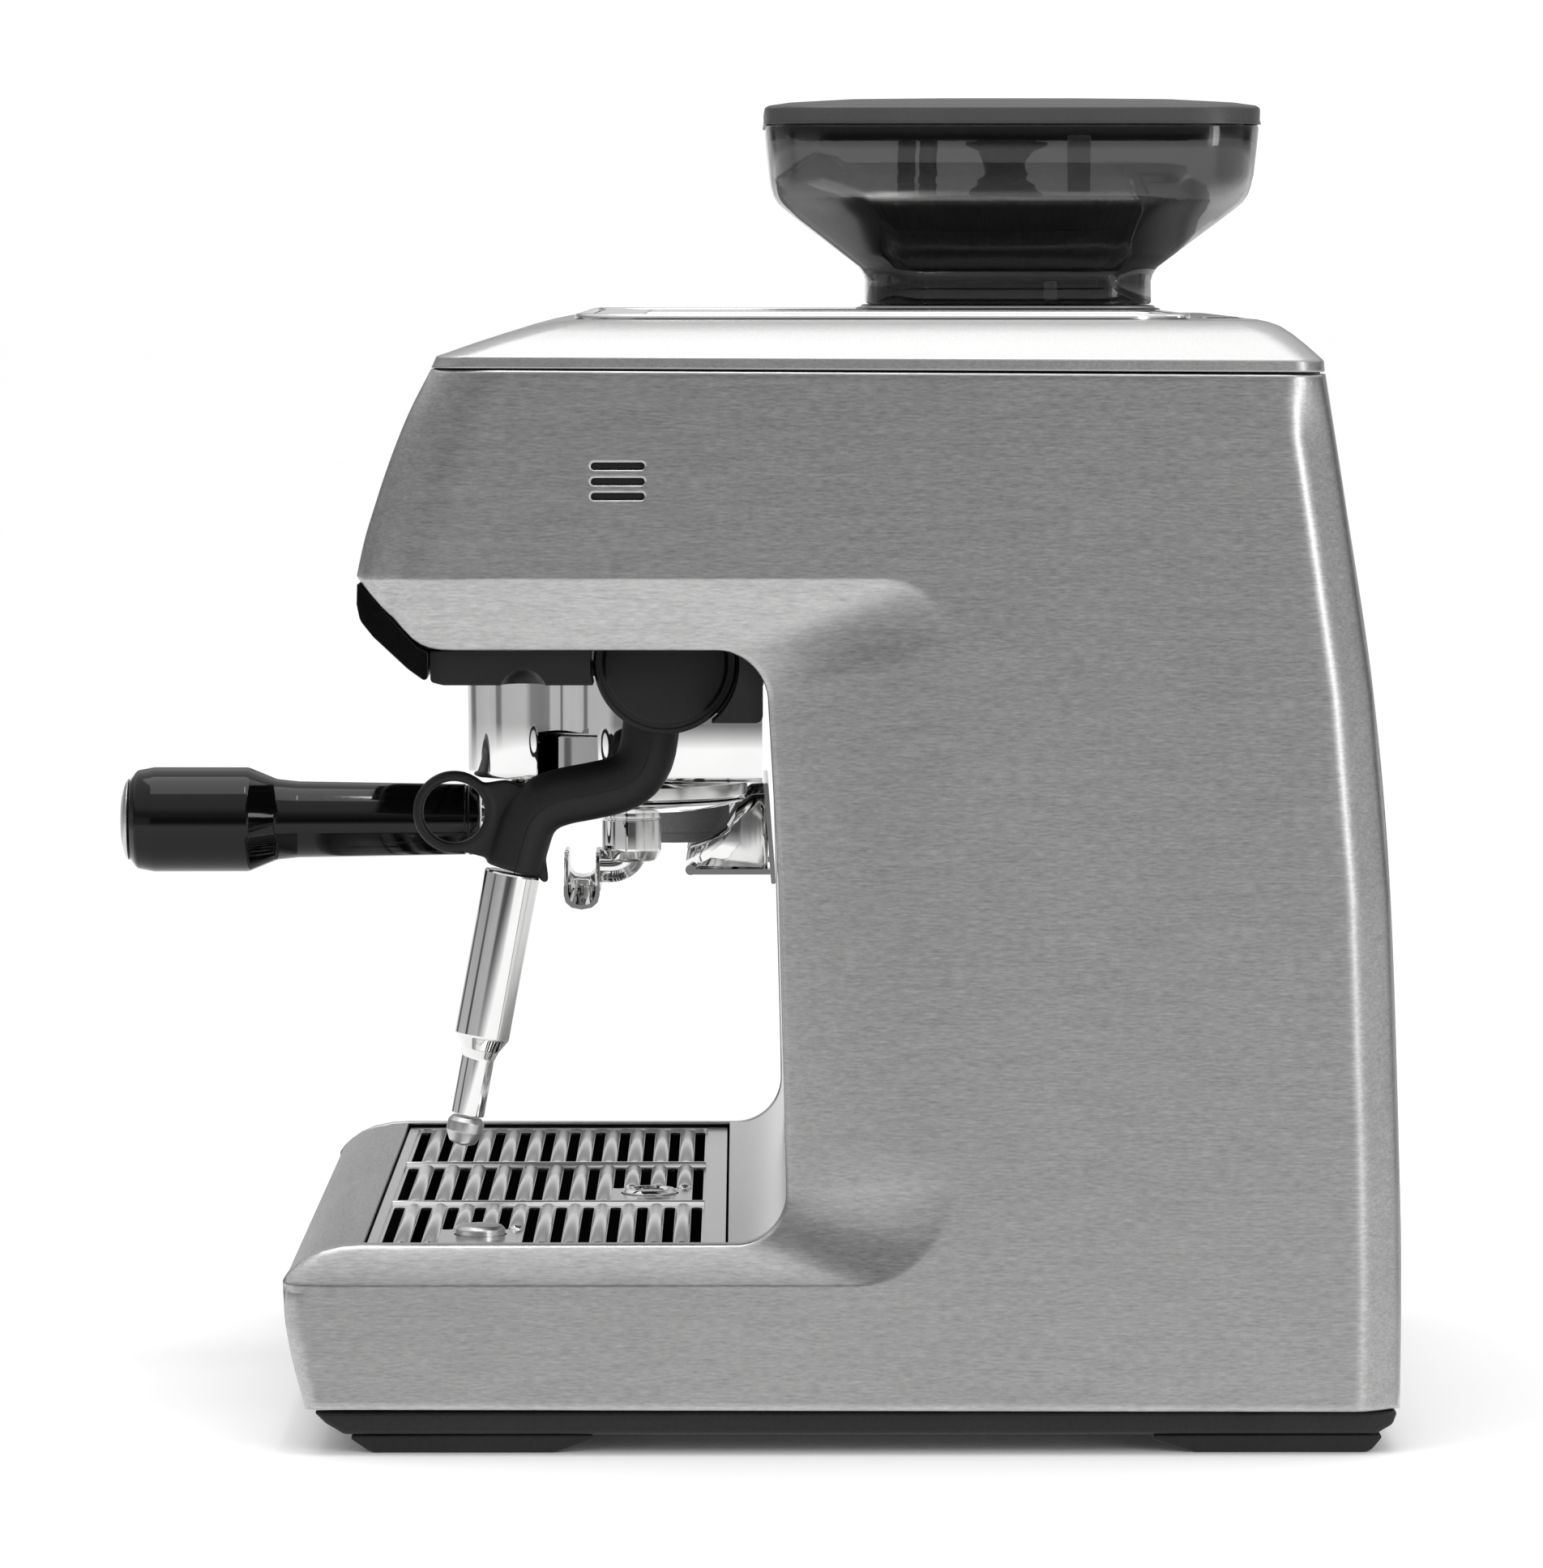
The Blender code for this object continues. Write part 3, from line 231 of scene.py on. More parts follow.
steel_side = brushed("steel_side", 0.45, 0.32)
steel_flat = brushed("steel_flat", 0.46, 0.34, along="x")
steel_back = brushed("steel_back", 0.46, 0.36, along="x")
steel_turned = brushed("steel_turned", 0.55, 0.30, along="x", grain=0.5)
sheet_bright = polished("sheet_bright", 0.78, 0.15, 0.03)
chrome = polished("chrome", 0.78, 0.035)
silver = sparkle("silver_satin", 0.39, 0.36)
black = plastic("black_matte", (0.006, 0.006, 0.0062), 0.46, spec=0.3)
black_soft = plastic("black_soft", (0.005, 0.005, 0.0052), 0.50, 0.7, 900, spec=0.3)
base_black = plastic("black_textured", (0.012, 0.012, 0.012), 0.6, 2.2, 700, spec=0.35)
gloss = plastic("black_gloss", (0.0015, 0.0015, 0.0015), 0.05, 0.02, 500, 0, 1.2, 0.3)
glass_black = plastic("screen_gloss", (0.003, 0.003, 0.004), 0.03, 0, 500, 0.6, 1.2)
rubber = plastic("rubber", (0.012, 0.012, 0.012), 0.72, 1.2, 600, spec=0.3)
lid_grey = plastic("lid_grey", (0.036, 0.036, 0.036), 0.36, 0.8, 1200, 0, 1.12)
outlet_grey = plastic("outlet_grey", (0.20, 0.20, 0.20), 0.42, 0.5, 900, 0, 1.1)
splash = polished("splash_bright", 0.88, 0.26, 0.015)
smoke = smoked("smoke", 0.28)
smoke_dark = smoked("smoke_ribbed", 0.36, 0.22, 0.35, 0.8)
smoke_tank = smoked("smoke_tank", 0.60)
hammered = polished("hammered_steel", 0.75, 0.12)
cast = brushed("cast_alloy", 0.30, 0.55, along="z", grain=0.6)
brass = polished("brass_machined", 0.6, 0.2, 0.1)
board = plastic("board_green", (0.01, 0.05, 0.025), 0.45, 0.5, 300)

LOOKS = {
    steel_side: "side_panel_right side_panel_left front_panel",
    steel_back: "back_panel",
    steel_flat: "drip_tray_front",
    steel_turned: "shower_screen filter_basket handle_cap steam_tip upper_burr lower_burr "
                  "milk_temp_sensor",
    sheet_bright: "splash_panel cup_warming_tray drip_grille",
    chrome: "group_shroud group_collar portafilter_body portafilter_spout steam_tube "
            "cradle_bracket power_button tray_float cup_rail",
    silver: "top_cover hopper_collar water_tank_lid",
    base_black: "base_tray",
    black: "head_underside drip_tray tank_bay power_inlet screen_module grinder_housing "
           "grind_chute hopper_lock_knob tank_handle water_pump",
    black_soft: "steam_arm steam_hub_disc",
    gloss: "front_bezel portafilter_handle",
    glass_black: "screen_glass",
    rubber: "foot_front_right foot_front_left foot_rear_right foot_rear_left group_gasket",
    smoke: "hopper_body water_tank",
    lid_grey: "hopper_lid",
    outlet_grey: "grind_outlet",
    brass: "group_head",
    cast: "chassis_frame coffee_boiler steam_boiler solenoid_valve grinder_gearbox grinder_motor",
    board: "control_board",
}
for look, names in LOOKS.items():
    for name in names.split():
        node = frame["nodes"][name]
        node.data.materials.clear()
        node.data.materials.append(look)


# ---------------------------------------------------------------- mesh helpers
def at(p):
    return (p[0] * MM, (p[1] + SHIFT) * MM, p[2] * MM)


def solid(name, verts, faces):
    """A raw mesh object from millimetre points."""
    mesh = bpy.data.meshes.new(name)
    mesh.from_pydata([at(v) for v in verts], [], [tuple(f) for f in faces])
    bm = bmesh.new()
    bm.from_mesh(mesh)
    bmesh.ops.remove_doubles(bm, verts=bm.verts, dist=2e-6)
    bmesh.ops.recalc_face_normals(bm, faces=bm.faces)
    bm.to_mesh(mesh)
    bm.free()
    obj = bpy.data.objects.new(name, mesh)
    bpy.context.scene.collection.objects.link(obj)
    return obj


def dress(obj, look, body, nodes="", bevel=0, steps=2, angle=38, limit=38):
    """Material, shading, rounded edges and the body it rides on."""
    obj.data.materials.clear()
    obj.data.materials.append(look)
    obj.data.polygons.foreach_set("use_smooth", [True] * len(obj.data.polygons))
    if bevel:
        mod = obj.modifiers.new("edge", "BEVEL")
        mod.width = bevel * MM
        mod.segments = steps
        mod.limit_method = "ANGLE"
        mod.angle_limit = radians(limit)
        mod.harden_normals = True
    else:
        obj.data.set_sharp_from_angle(angle=radians(angle))
    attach(obj, body)
    if nodes:
        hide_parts(*nodes.split())
    return obj


def boolean(target, operation, *others):
    """Applies the booleans and removes the helpers."""
    for other in others:
        mod = target.modifiers.new("step", "BOOLEAN")
        mod.solver = "EXACT"
        mod.operation = operation
        mod.object = other
    graph = bpy.context.evaluated_depsgraph_get()
    graph.update()
    mesh = bpy.data.meshes.new_from_object(target.evaluated_get(graph))
    target.modifiers.clear()
    target.data = mesh
    for other in others:
        bpy.data.objects.remove(other, do_unlink=True)
    return target


def cut(target, *others):
    return boolean(target, "DIFFERENCE", *others)


def join(target, *others):
    return boolean(target, "UNION", *others)


def arc(cy, cz, radius, start, end, steps):
    out = []
    for i in range(steps + 1):
        a = radians(start + (end - start) * i / steps)
        out.append((cy + radius * cos(a), cz + radius * sin(a)))
    return out


def circle(cx, cy, radius, steps):
    return arc(cx, cy, radius, 0, 360 - 360 / steps, steps - 1)


def rounded(points, default=0, steps=5, open_ends=False):
    """A polygon with its corners rounded; a point is (u, v) or (u, v, radius)."""
    out = []
    count = len(points)
    for i, p in enumerate(points):
        here = Vector(p[:2])
        radius = p[2] if len(p) > 2 else default
        if radius <= 0 or (open_ends and i in (0, count - 1)):
            out.append(tuple(here))
            continue
        a = Vector(points[i - 1][:2]) - here
        b = Vector(points[(i + 1) % count][:2]) - here
        reach = min(a.length, b.length) * 0.49
        a.normalize()
        b.normalize()
        half = a.angle(b) / 2
        if half > 1.55:
            out.append(tuple(here))
            continue
        run = min(radius / tan(half), reach)
        radius = run * tan(half)
        centre = here + (a + b).normalized() * (radius / sin(half))
        first = here + a * run - centre
        last = here + b * run - centre
        start = atan2(first.y, first.x)
        turn = (atan2(last.y, last.x) - start + pi) % (2 * pi) - pi
        for k in range(steps + 1):
            angle = start + turn * k / steps
            out.append((centre.x + radius * cos(angle), centre.y + radius * sin(angle)))
    return out


def rect(x0, x1, y0, y1, radius, steps=6):
    return rounded([(x1, y0), (x1, y1), (x0, y1), (x0, y0)], radius, steps)


def curve(points, gap):
    """A smooth line through the points, sampled about gap apart."""
    pts = [Vector(p) for p in points]
    ends = [pts[0] * 2 - pts[1]] + pts + [pts[-1] * 2 - pts[-2]]
    out = []
    for i in range(1, len(ends) - 2):
        a, b, c, d = ends[i - 1:i + 3]
        count = max(1, round((c - b).length / gap))
        for k in range(count):
            t = k / count
            p = 2 * b + (c - a) * t + (2 * a - 5 * b + 4 * c - d) * t ** 2
            out.append(tuple((p + (3 * b - a - 3 * c + d) * t ** 3) * 0.5))
    return out + [tuple(pts[-1])]


def between(points, value, key=1, other=0):
    """Linear look-up along a list of points."""
    ordered = sorted(points, key=lambda p: p[key])
    if value <= ordered[0][key]:
        return ordered[0][other]
    for a, b in zip(ordered, ordered[1:]):
        if value <= b[key]:
            share = (value - a[key]) / max(b[key] - a[key], 1e-9)
            return a[other] + (b[other] - a[other]) * share
    return ordered[-1][other]


def heading(path, i):
    """Unit direction of a path at its i-th point."""
    ahead = Vector(path[min(i + 1, len(path) - 1)])
    return (ahead - Vector(path[max(i - 1, 0)])).normalized()


def beside(path, gap):
    """The path moved sideways by the gap."""
    out = []
    for i, here in enumerate(path):
        along = heading(path, i)
        out.append((here[0] - along.y * gap, here[1] + along.x * gap))
    return out


def place(axis, u, v, w):
    return {"x": (w, u, v), "y": (u, w, v), "z": (u, v, w)}[axis]


def prism(name, axis, loop, low, high, holes=()):
    loops = [list(loop)] + [list(hole) for hole in holes]
    flat = [p for ring in loops for p in ring]
    count = len(flat)
    verts = [place(axis, *p, low) for p in flat] + [place(axis, *p, high) for p in flat]
    faces = []
    if holes:
        fill = tessellate_polygon([[Vector((*p, 0)) for p in ring] for ring in loops])
        for tri in fill:
            faces += [tri, tuple(i + count for i in tri)]
    else:
        faces += [range(count), range(count, 2 * count)]
    start = 0
    for ring in loops:
        size = len(ring)
        for i in range(size):
            a, b = start + i, start + (i + 1) % size
            faces.append((a, b, b + count, a + count))
        start += size
    return solid(name, verts, faces)


def skin(name, rings, closed=False):
    """Faces between rings of equal length."""
    size = len(rings[0])
    verts = [p for ring in rings for p in ring]
    faces = []
    for k in range(len(rings) if closed else len(rings) - 1):
        low = k * size
        high = ((k + 1) % len(rings)) * size
        for i in range(size):
            j = (i + 1) % size
            faces.append((low + i, low + j, high + j, high + i))
    if not closed:
        faces += [range(size), range(len(verts) - size, len(verts))]
    return solid(name, verts, faces)


def revolve(name, axis, centre, profile, steps=64, closed=True):
    """Turns (radius, distance) points about a line along the axis."""
    verts = []
    rows = []
    for radius, along in profile:
        turns = steps if radius > 1e-6 else 1
        rows.append(range(len(verts), len(verts) + turns))
        for i in range(turns):
            a = 2 * pi * i / steps
            u = centre[0] + radius * cos(a)
            v = centre[1] + radius * sin(a)
            verts.append(place(axis, u, v, along))
    faces = []
    for k in range(len(rows) if closed else len(rows) - 1):
        low = rows[k]
        high = rows[(k + 1) % len(rows)]
        if len(low) == len(high) == 1:
            continue
        for i in range(steps):
            j = (i + 1) % steps
            quad = [low[i % len(low)], low[j % len(low)], high[j % len(high)],
                    high[i % len(high)]]
            face = [p for n, p in enumerate(quad) if p not in quad[:n]]
            if len(face) > 2:
                faces.append(face)
    return solid(name, verts, faces)


def turned(name, axis, centre, profile, steps, corner=4):
    """A turned piece whose profile has rounded corners and ends on the axis."""
    return revolve(name, axis, centre, rounded(profile, 0, corner, True), steps, False)


def tube_rings(path, radius, steps=32, flat=1):
    """Rings round a path in a plane of constant x."""
    pts = [Vector(p) for p in path]
    across = Vector((1, 0, 0))
    rings = []
    for i, here in enumerate(pts):
        other = heading(pts, i).cross(across).normalized()
        ring = []
        for n in range(steps):
            a = 2 * pi * n / steps
            ring.append(tuple(here + across * (cos(a) * radius * flat)
                              + other * (sin(a) * radius)))
        rings.append(ring)
    return rings


# ---------------------------------------------------------------- side panels
TUCK = 6
HALF = 196
FLANGE = 184.3
BACK = ((186.2, 14.5), (186.5, 51), (185.8, 92), (182.2, 186), (176.2, 253.5),
        (166.8, 315.5), (159.8, 359.2))
FRONT = ((-136.1, 360.9), (-142.8, 347.9), (-147.4, 337.1), (-151.4, 326.3), (-154.9, 315.6),
         (-158.2, 304.8), (-160.9, 292.6))
BASE = ((-178.9, 15.4), (-184.6, 40), (-186.2, 58))
NOSE = ((-159.5, 70.1), (-166, 69.7), (-172.7, 68.3), (-178, 66), (-181.8, 63.3),
        (-184.5, 60.8), (-186, 58.6))
CHIN = ((-159.3, 290.2), (-156, 286.2), (-152.5, 282.3), (-149, 278.4), (-145.5, 274.6),
        (-142.4, 271.5), (-139.6, 269.6), (-136.6, 268.5), (-132.8, 268), (-128.5, 267.8))
VENTS = (329, 323.9, 319)
BAND_T = (0, 0.012, 0.035, 0.08, 0.16, 0.28, 0.42, 0.56, 0.70, 0.82, 0.91, 0.97, 1)


def band_pairs():
    """(edge point, crease point, softness) down the head, the column and the tray."""
    out = [(p, (p[0] + 0.6, 291.3), 0) for p in CHIN]
    for i in range(1, 15):
        out.append(((-128.5 + 86.3 * i / 14, 267.8), (-128.5 + 142.5 * i / 14, 291.5), 0))
    for i in range(1, 15):
        a = radians(90 * i / 14)
        edge = (-42.2 + 17.5 * sin(a), 250.3 + 17.5 * cos(a))
        crease = (14 + 24.7 * sin(a), 262 + 29.5 * cos(a))
        out.append((edge, crease, min(max((i - 3) / 9, 0), 1)))
    column = ((-24.7, 250.3), (-21.4, 194), (-18.7, 92), (-18.7, 87.1))
    for i in range(1, 15):
        z = 250.3 + (87.1 - 250.3) * i / 14
        out.append(((between(column, z), z), (38.7, 262 + (98 - 262) * i / 14), 1))
    for i in range(1, 15):
        a = radians(90 * i / 14)
        edge = (-35.7 + 17 * cos(a), 87.1 - 17 * sin(a))
        crease = (5 + 33.7 * cos(a), 98 - 40.8 * sin(a))
        out.append((edge, crease, 1 - min(i / 6, 1)))
    for i in range(1, 17):
        out.append(((-35.7 - 123.8 * i / 16, 70.1), (5 - 164.5 * i / 16, 57.2), 0))
    out += [(p, (p[0], 57.2 + 0.5 * i / 5), 0) for i, p in enumerate(NOSE[1:])]
    return out


def round_off(u, width, depth):
    """Depth of an elliptical edge at distance u from it."""
    if u >= width:
        return 0
    share = 1 - max(u, 0) / width
    return depth * (1 - sqrt(max(1 - share * share, 0)))


def rear_fold(u, z):
    """Depth of the rear corner: a soft crease, a slope and a rounded edge, plainer at the top."""
    slope = 0.62 * (16.1 - u) ** 2 / 11.2 if u > 10.5 else 0.62 * (13.3 - u)
    folded = (slope if u < 16.1 else 0) + round_off(u, 3.2, 3.36)
    share = min(max((357 - z) / 18, 0), 1)
    return folded * share + round_off(u, 14, 11.6) * (1 - share)


def face_x(y, z):
    """x of the panel's outer skin before the tuck: flat, with folded edges."""
    drop = 0
    if z > 262:
        drop += round_off(y - between(FRONT, z), 24, 9)
    if z < 70:
        fade = min(max((68.5 - z) / 9, 0), 1)
        drop += round_off(y - between(BASE + NOSE, z), 5, 4) * fade
    drop += rear_fold(between(BACK, z) - y, z)
    drop += round_off(z - 15.4 + (y + 178.9) * 0.9 / 365.1, 1.4, 1.4)
    drop += round_off(360.9 - (y + 136.1) * 1.7 / 295.9 - z, 1.1, 1.1)
    return HALF - min(drop, 11.6)


def spread(length):
    """Distances along a side, close together near both ends, where the skin bends."""
    ends = (1, 2.2, 3.6, 5.2, 7, 9, 11.2, 13.5, 16, 19, 22.5, 26)
    middle = [32 + (length - 64) * i / 32 for i in range(33)]
    return [*ends, *middle, *(length - d for d in reversed(ends))]


def inside(points, loop):
    """Which points lie in the closed loop."""
    pts = np.asarray(points)
    ring = np.asarray(loop)
    nxt = np.roll(ring, -1, axis=0)
    hit = np.zeros(len(pts), bool)
    for (ax, ay), (bx, by) in zip(ring, nxt):
        if ay == by:
            continue
        cross = (ay > pts[:, 1]) != (by > pts[:, 1])
        hit ^= cross & (pts[:, 0] < (bx - ax) * (pts[:, 1] - ay) / (by - ay) + ax)
    return hit


def panel_plan():
    """Flat points, their x, the constraint edges, the outline and the vent loops."""
    pairs = band_pairs()
    points = []
    depth = []
    edges = []

    def put(y, z, x=None):
        points.append((y, z))
        depth.append(face_x(y, z) if x is None else x)
        return len(points) - 1

    front = [put(*p) for p in curve(FRONT, 4)]
    rows = []
    for edge, crease, soft in pairs:
        edge, crease = Vector(edge), Vector(crease)
        span = (crease - edge).length
        slope = 6 / 23.7 if edge.y > 200 and edge.x < -128 else 6 / 13
        full = TUCK if span > 12.9 and edge.x > -160 else min(TUCK, span * slope)
        row = []
        for t in BAND_T:
            p = edge.lerp(crease, t)
            crisp = (1 - t) if edge.y > 100 else 0.6 * (1 - t) + 0.4 * (1 - t) ** 2
            lean = full * ((1 - soft) * crisp + soft * (1 - t) ** 2)
            lean += round_off(t * span, 1, 1)
            x = max(face_x(p.x, p.y) - lean, FLANGE)
            row.append(put(p.x, p.y, x))
        rows.append(row)
    for a, b in zip(rows, rows[1:]):
        edges += [(m, n) for m, n in zip(a[1:], b[1:]) if points[m] != points[n]]
    base = [put(*p) for p in reversed(curve(BASE, 4)[:-1])]
    bottom = [put(-178.9 + d, 15.4 - 0.9 * d / 365.1) for d in spread(365.1)]
    back = [put(*p) for p in curve(BACK, 7)]
    top = [put(159.8 - d, 359.2 + 1.7 * d / 295.9) for d in spread(295.9)]
    outline = front + [row[0] for row in rows] + base + bottom + back + top
    edges += list(zip(outline, outline[1:] + outline[:1]))
    loop = [points[i] for i in outline]
    creases = [points[row[-1]] for row in rows]
    band = [points[row[0]] for row in rows] + creases[::-1]
    lines = []
    for u in (0.15, 0.6, 1.4, 2.6, 4.4, 6.6, 9.4, 13, 17, 21, 24, 26, 32):
        lines.append([(points[i][0] + u, points[i][1]) for i in front])
    for u in (0.1, 0.4, 0.9, 1.7, 2.5, 3.3, 5.5, 8, 9.6, 10.5, 11.8, 13.2, 14.6, 16.2, 19, 26):
        lines.append([(points[i][0] - u, points[i][1]) for i in back])
    for u in (0.1, 0.4, 1, 2, 3.2, 5, 6.5, 12):
        lines.append([(points[i][0] + u, points[i][1]) for i in base])
    for u in (0.15, 0.5, 1, 1.5, 3, 12):
        lines.append([(points[i][0], points[i][1] + u) for i in bottom])
    for u in (0.12, 0.4, 0.8, 1.2, 3, 12):
        lines.append([(points[i][0], points[i][1] - u) for i in top])
    lines += [beside(creases, u) for u in (0.7, 2.5, 8)]
    coarse = [(y, z) for y in range(-170, 190, 16) for z in range(24, 356, 16)]
    vents = [rect(-82.9, -65.7, z - 0.95, z + 0.95, 0.94, 5) for z in VENTS]
    rims = [rect(-83.5, -65.1, z - 1.5, z + 1.5, 1.5, 5) for z in VENTS]
    flats = [rect(-84.2, -64.4, z - 2.1, z + 2.1, 2, 5) for z in VENTS]
    field = rect(-90, -58, 311, 337, 6, 5)
    for line in lines + [[p] for p in coarse]:
        keep = inside(line, loop) & ~inside(line, band) & ~inside(line, field)
        last = None
        for p, good in zip(line, keep):
            here = put(*p) if good else None
            if here is not None and last is not None:
                edges.append((last, here))
            last = here
    flats.append(field)
    for ring, x in [(v, HALF - 0.5) for v in vents] + [(r, HALF) for r in rims + flats]:
        ids = [put(y, z, x) for y, z in ring]
        edges += list(zip(ids, ids[1:] + ids[:1]))
    return points, depth, edges, outline, loop, vents


def side_panels():
    points, depth, edges, outline, loop, vents = panel_plan()
    flat = [Vector(p) for p in points]
    out, _, tris, source, _, _ = delaunay_2d_cdt(flat, edges, [], 0, 1e-5)
    height = [depth[ids[0]] if ids else face_x(*p) for p, ids in zip(out, source)]
    centres = [tuple((out[a] + out[b] + out[c]) / 3) for a, b, c in tris]
    keep = inside(centres, loop)
    for vent in vents:
        keep &= ~inside(centres, vent)
    faces = [tri for tri, good in zip(tris, keep) if good]
    where = {i: n for n, ids in enumerate(source) for i in ids}
    verts = [(x, p.x, p.y) for p, x in zip(out, height)]
    rim = [where[i] for i in outline]
    start = len(verts)
    verts += [(FLANGE - 0.3, out[i].x, out[i].y) for i in rim]
    size = len(rim)
    for n in range(size):
        m = (n + 1) % size
        faces.append((rim[n], rim[m], start + m, start + n))
    for name, side in (("side_panel_right", 1), ("side_panel_left", -1)):
        panel = solid("shell_" + name, [(side * x, y, z) for x, y, z in verts], faces)
        if sum(f.normal.x * f.area for f in panel.data.polygons) * side < 0:
            panel.data.flip_normals()
        dress(panel, steel_side, "housing", name, angle=55)
        wall = panel.modifiers.new("sheet", "SOLIDIFY")
        wall.thickness = WALL * MM
        wall.offset = -1
        # Painted shade: a black plate behind the vent slots stands in for the shadowed inside of
        # the housing.
        back = rect(-88, -60, 312, 336, 2)
        lining = prism("vent_shade_plate_" + name[11:], "x", back, side * 193.6, side * 194.3)
        dress(lining, black, "housing", bevel=0.2)


# ---------------------------------------------------------------- base and rear
def base():
    belly = rounded([(-176.4, 14.2), (-172, 10, 3), (-166, 6.4, 3), (178, 6.4, 4),
                     (183.5, 9.6, 3), (185.2, 14.2)], 0, 4)
    tray = prism("shell_base_tray", "x", belly, -190, 190)
    dress(tray, base_black, "housing", "base_tray", bevel=1.6, steps=3)
    for label, y0, y1, lead, trail in (("front", -157, -96, 9, 18), ("rear", 118, 176, 20, 5)):
        foot = rounded([(y0 - lead, 6.1, 1), (y0, 0, 5), (y1, 0, 5), (y1 + trail, 6.1, 1)])
        for side, x0, x1 in (("right", 128, 188), ("left", -188, -128)):
            name = f"foot_{label}_{side}"
            pad = prism("shell_" + name, "x", foot, x0, x1)
            dress(pad, rubber, "housing", name, bevel=1.5, steps=3)


def back_y(z):
    return between(BACK, z)


def rear():
    line = curve(BACK, 9)
    inner = [(y - SHEET, z) for y, z in reversed(line)]
    sheet = prism("shell_back_panel", "x", line + inner, -INNER, INNER)
    cut(sheet, prism("cut_bay", "x", [(100, 69), (200, 69), (200, 400), (100, 400)], 13, 171),
        prism("cut_inlet", "y", rect(-150.4, -119.6, 29.6, 54.4, 4), 170, 200))
    for n in range(12):
        slot = rect(-150 + 9 * n, -146.4 + 9 * n, 285, 325, 1.7, 4)
        cut(sheet, prism(f"cut_vent_{n}", "y", slot, 150, 190))
    dress(sheet, steel_back, "housing", "back_panel", angle=30)
    # Painted shade: a black plate behind the rear vent slots stands in for the shadowed inside of
    # the housing.
    lining = prism("vent_shade_plate_rear", "y", rect(-154, -44, 282, 328, 2), 160, 161)
    dress(lining, black, "housing", bevel=0.2)
    socket = prism("shell_power_inlet", "y", rect(-149.8, -120.2, 30.2, 53.8, 4), 150, 186.6)
    cut(socket, prism("cut_socket", "y", rounded([(-146, 34, 2), (-124, 34, 2), (-124, 46, 5),
                                                  (-128, 50, 1), (-142, 50, 1), (-146, 46, 5)]),
                      167, 190))
    dress(socket, black, "housing", "power_inlet", bevel=0.5)
    for label, x in (("left", -142), ("mid", -135), ("right", -128)):
        pin = prism(f"inlet_pin_{label}", "y", rect(x - 1, x + 1, 39.5, 44.5, 0.5, 3), 167.1, 182)
        dress(pin, brass, "housing", bevel=0.3)


def tank():
    levels = (76, 84, 92, 140, 186, 220, 253.5, 285, 315.5, 335, 351.6)
    rings = []
    for grow, low in ((0, 0), (2.5, 2.5)):
        for z in levels if not grow else reversed(levels):
            back = back_y(z) - 0.8 - grow
            z = max(z, 76 + grow)
            rings.append([(x, y, z) for x, y in rect(16.4 + grow, 167.6 - grow, 122.4 + grow, back,
                                                     9 - grow, 6)])
    walls = skin("shell_water_tank", rings)
    dress(walls, smoke_tank, "tank", "water_tank", angle=50)
    flap = rounded([(121.4, 352.8, 1), (159.3, 352.8, 1), (159.2, 359.8, 1), (158.8, 364, 2),
                    (156.2, 367.2, 2), (142, 376.4, 3), (138, 377.2, 2), (121.4, 377.2, 1.2)])
    lid = prism("shell_tank_lid", "x", flap, 16.4, 167.6)
    cut(lid, prism("cut_recess", "z", rect(56, 128, 123.4, 139.2, 5), 371.6, 390),
        prism("cut_under", "z", rect(20, 164, 124, 154, 4), 340, 362))
    dress(lid, silver, "tank_cover", "water_tank_lid", bevel=0.5)
    bail = prism("shell_tank_handle", "z",
                 rounded([(58, 124.7, 1), (63, 124.7, 1), (63, 132.6, 3), (121, 132.6, 3),
                          (121, 124.7, 1), (126, 124.7, 1), (126, 137.4, 4), (58, 137.4, 4)]),
                 372.6, 376.4)
    dress(bail, black, "tank_bail", "tank_handle", bevel=1, steps=3)
    hull = prism("shell_tank_bay", "z", rect(13.6, 170.4, 116.2, 188, 4), 70.2, 350)
    cut(hull, prism("cut_bay_in", "z", rect(15.6, 168.4, 118.4, 200, 3), 73, 400),
        prism("cut_bay_back", "x", [(back_y(z) - 2.3, z) for z in (69, 92, 186, 253.5, 315.5, 351)]
              + [(240, 351), (240, 69)], 0, 180))
    dress(hull, black, "housing", "tank_bay", bevel=0.5)


# ---------------------------------------------------------------- top
def cover_ring(x, y0, y1, z_front, z_rear, radius):
    loop = rect(-x, x, y0, y1, radius, 8)
    return [(u, v, z_front + (z_rear - z_front) * (v - y0) / (y1 - y0)) for u, v in loop]


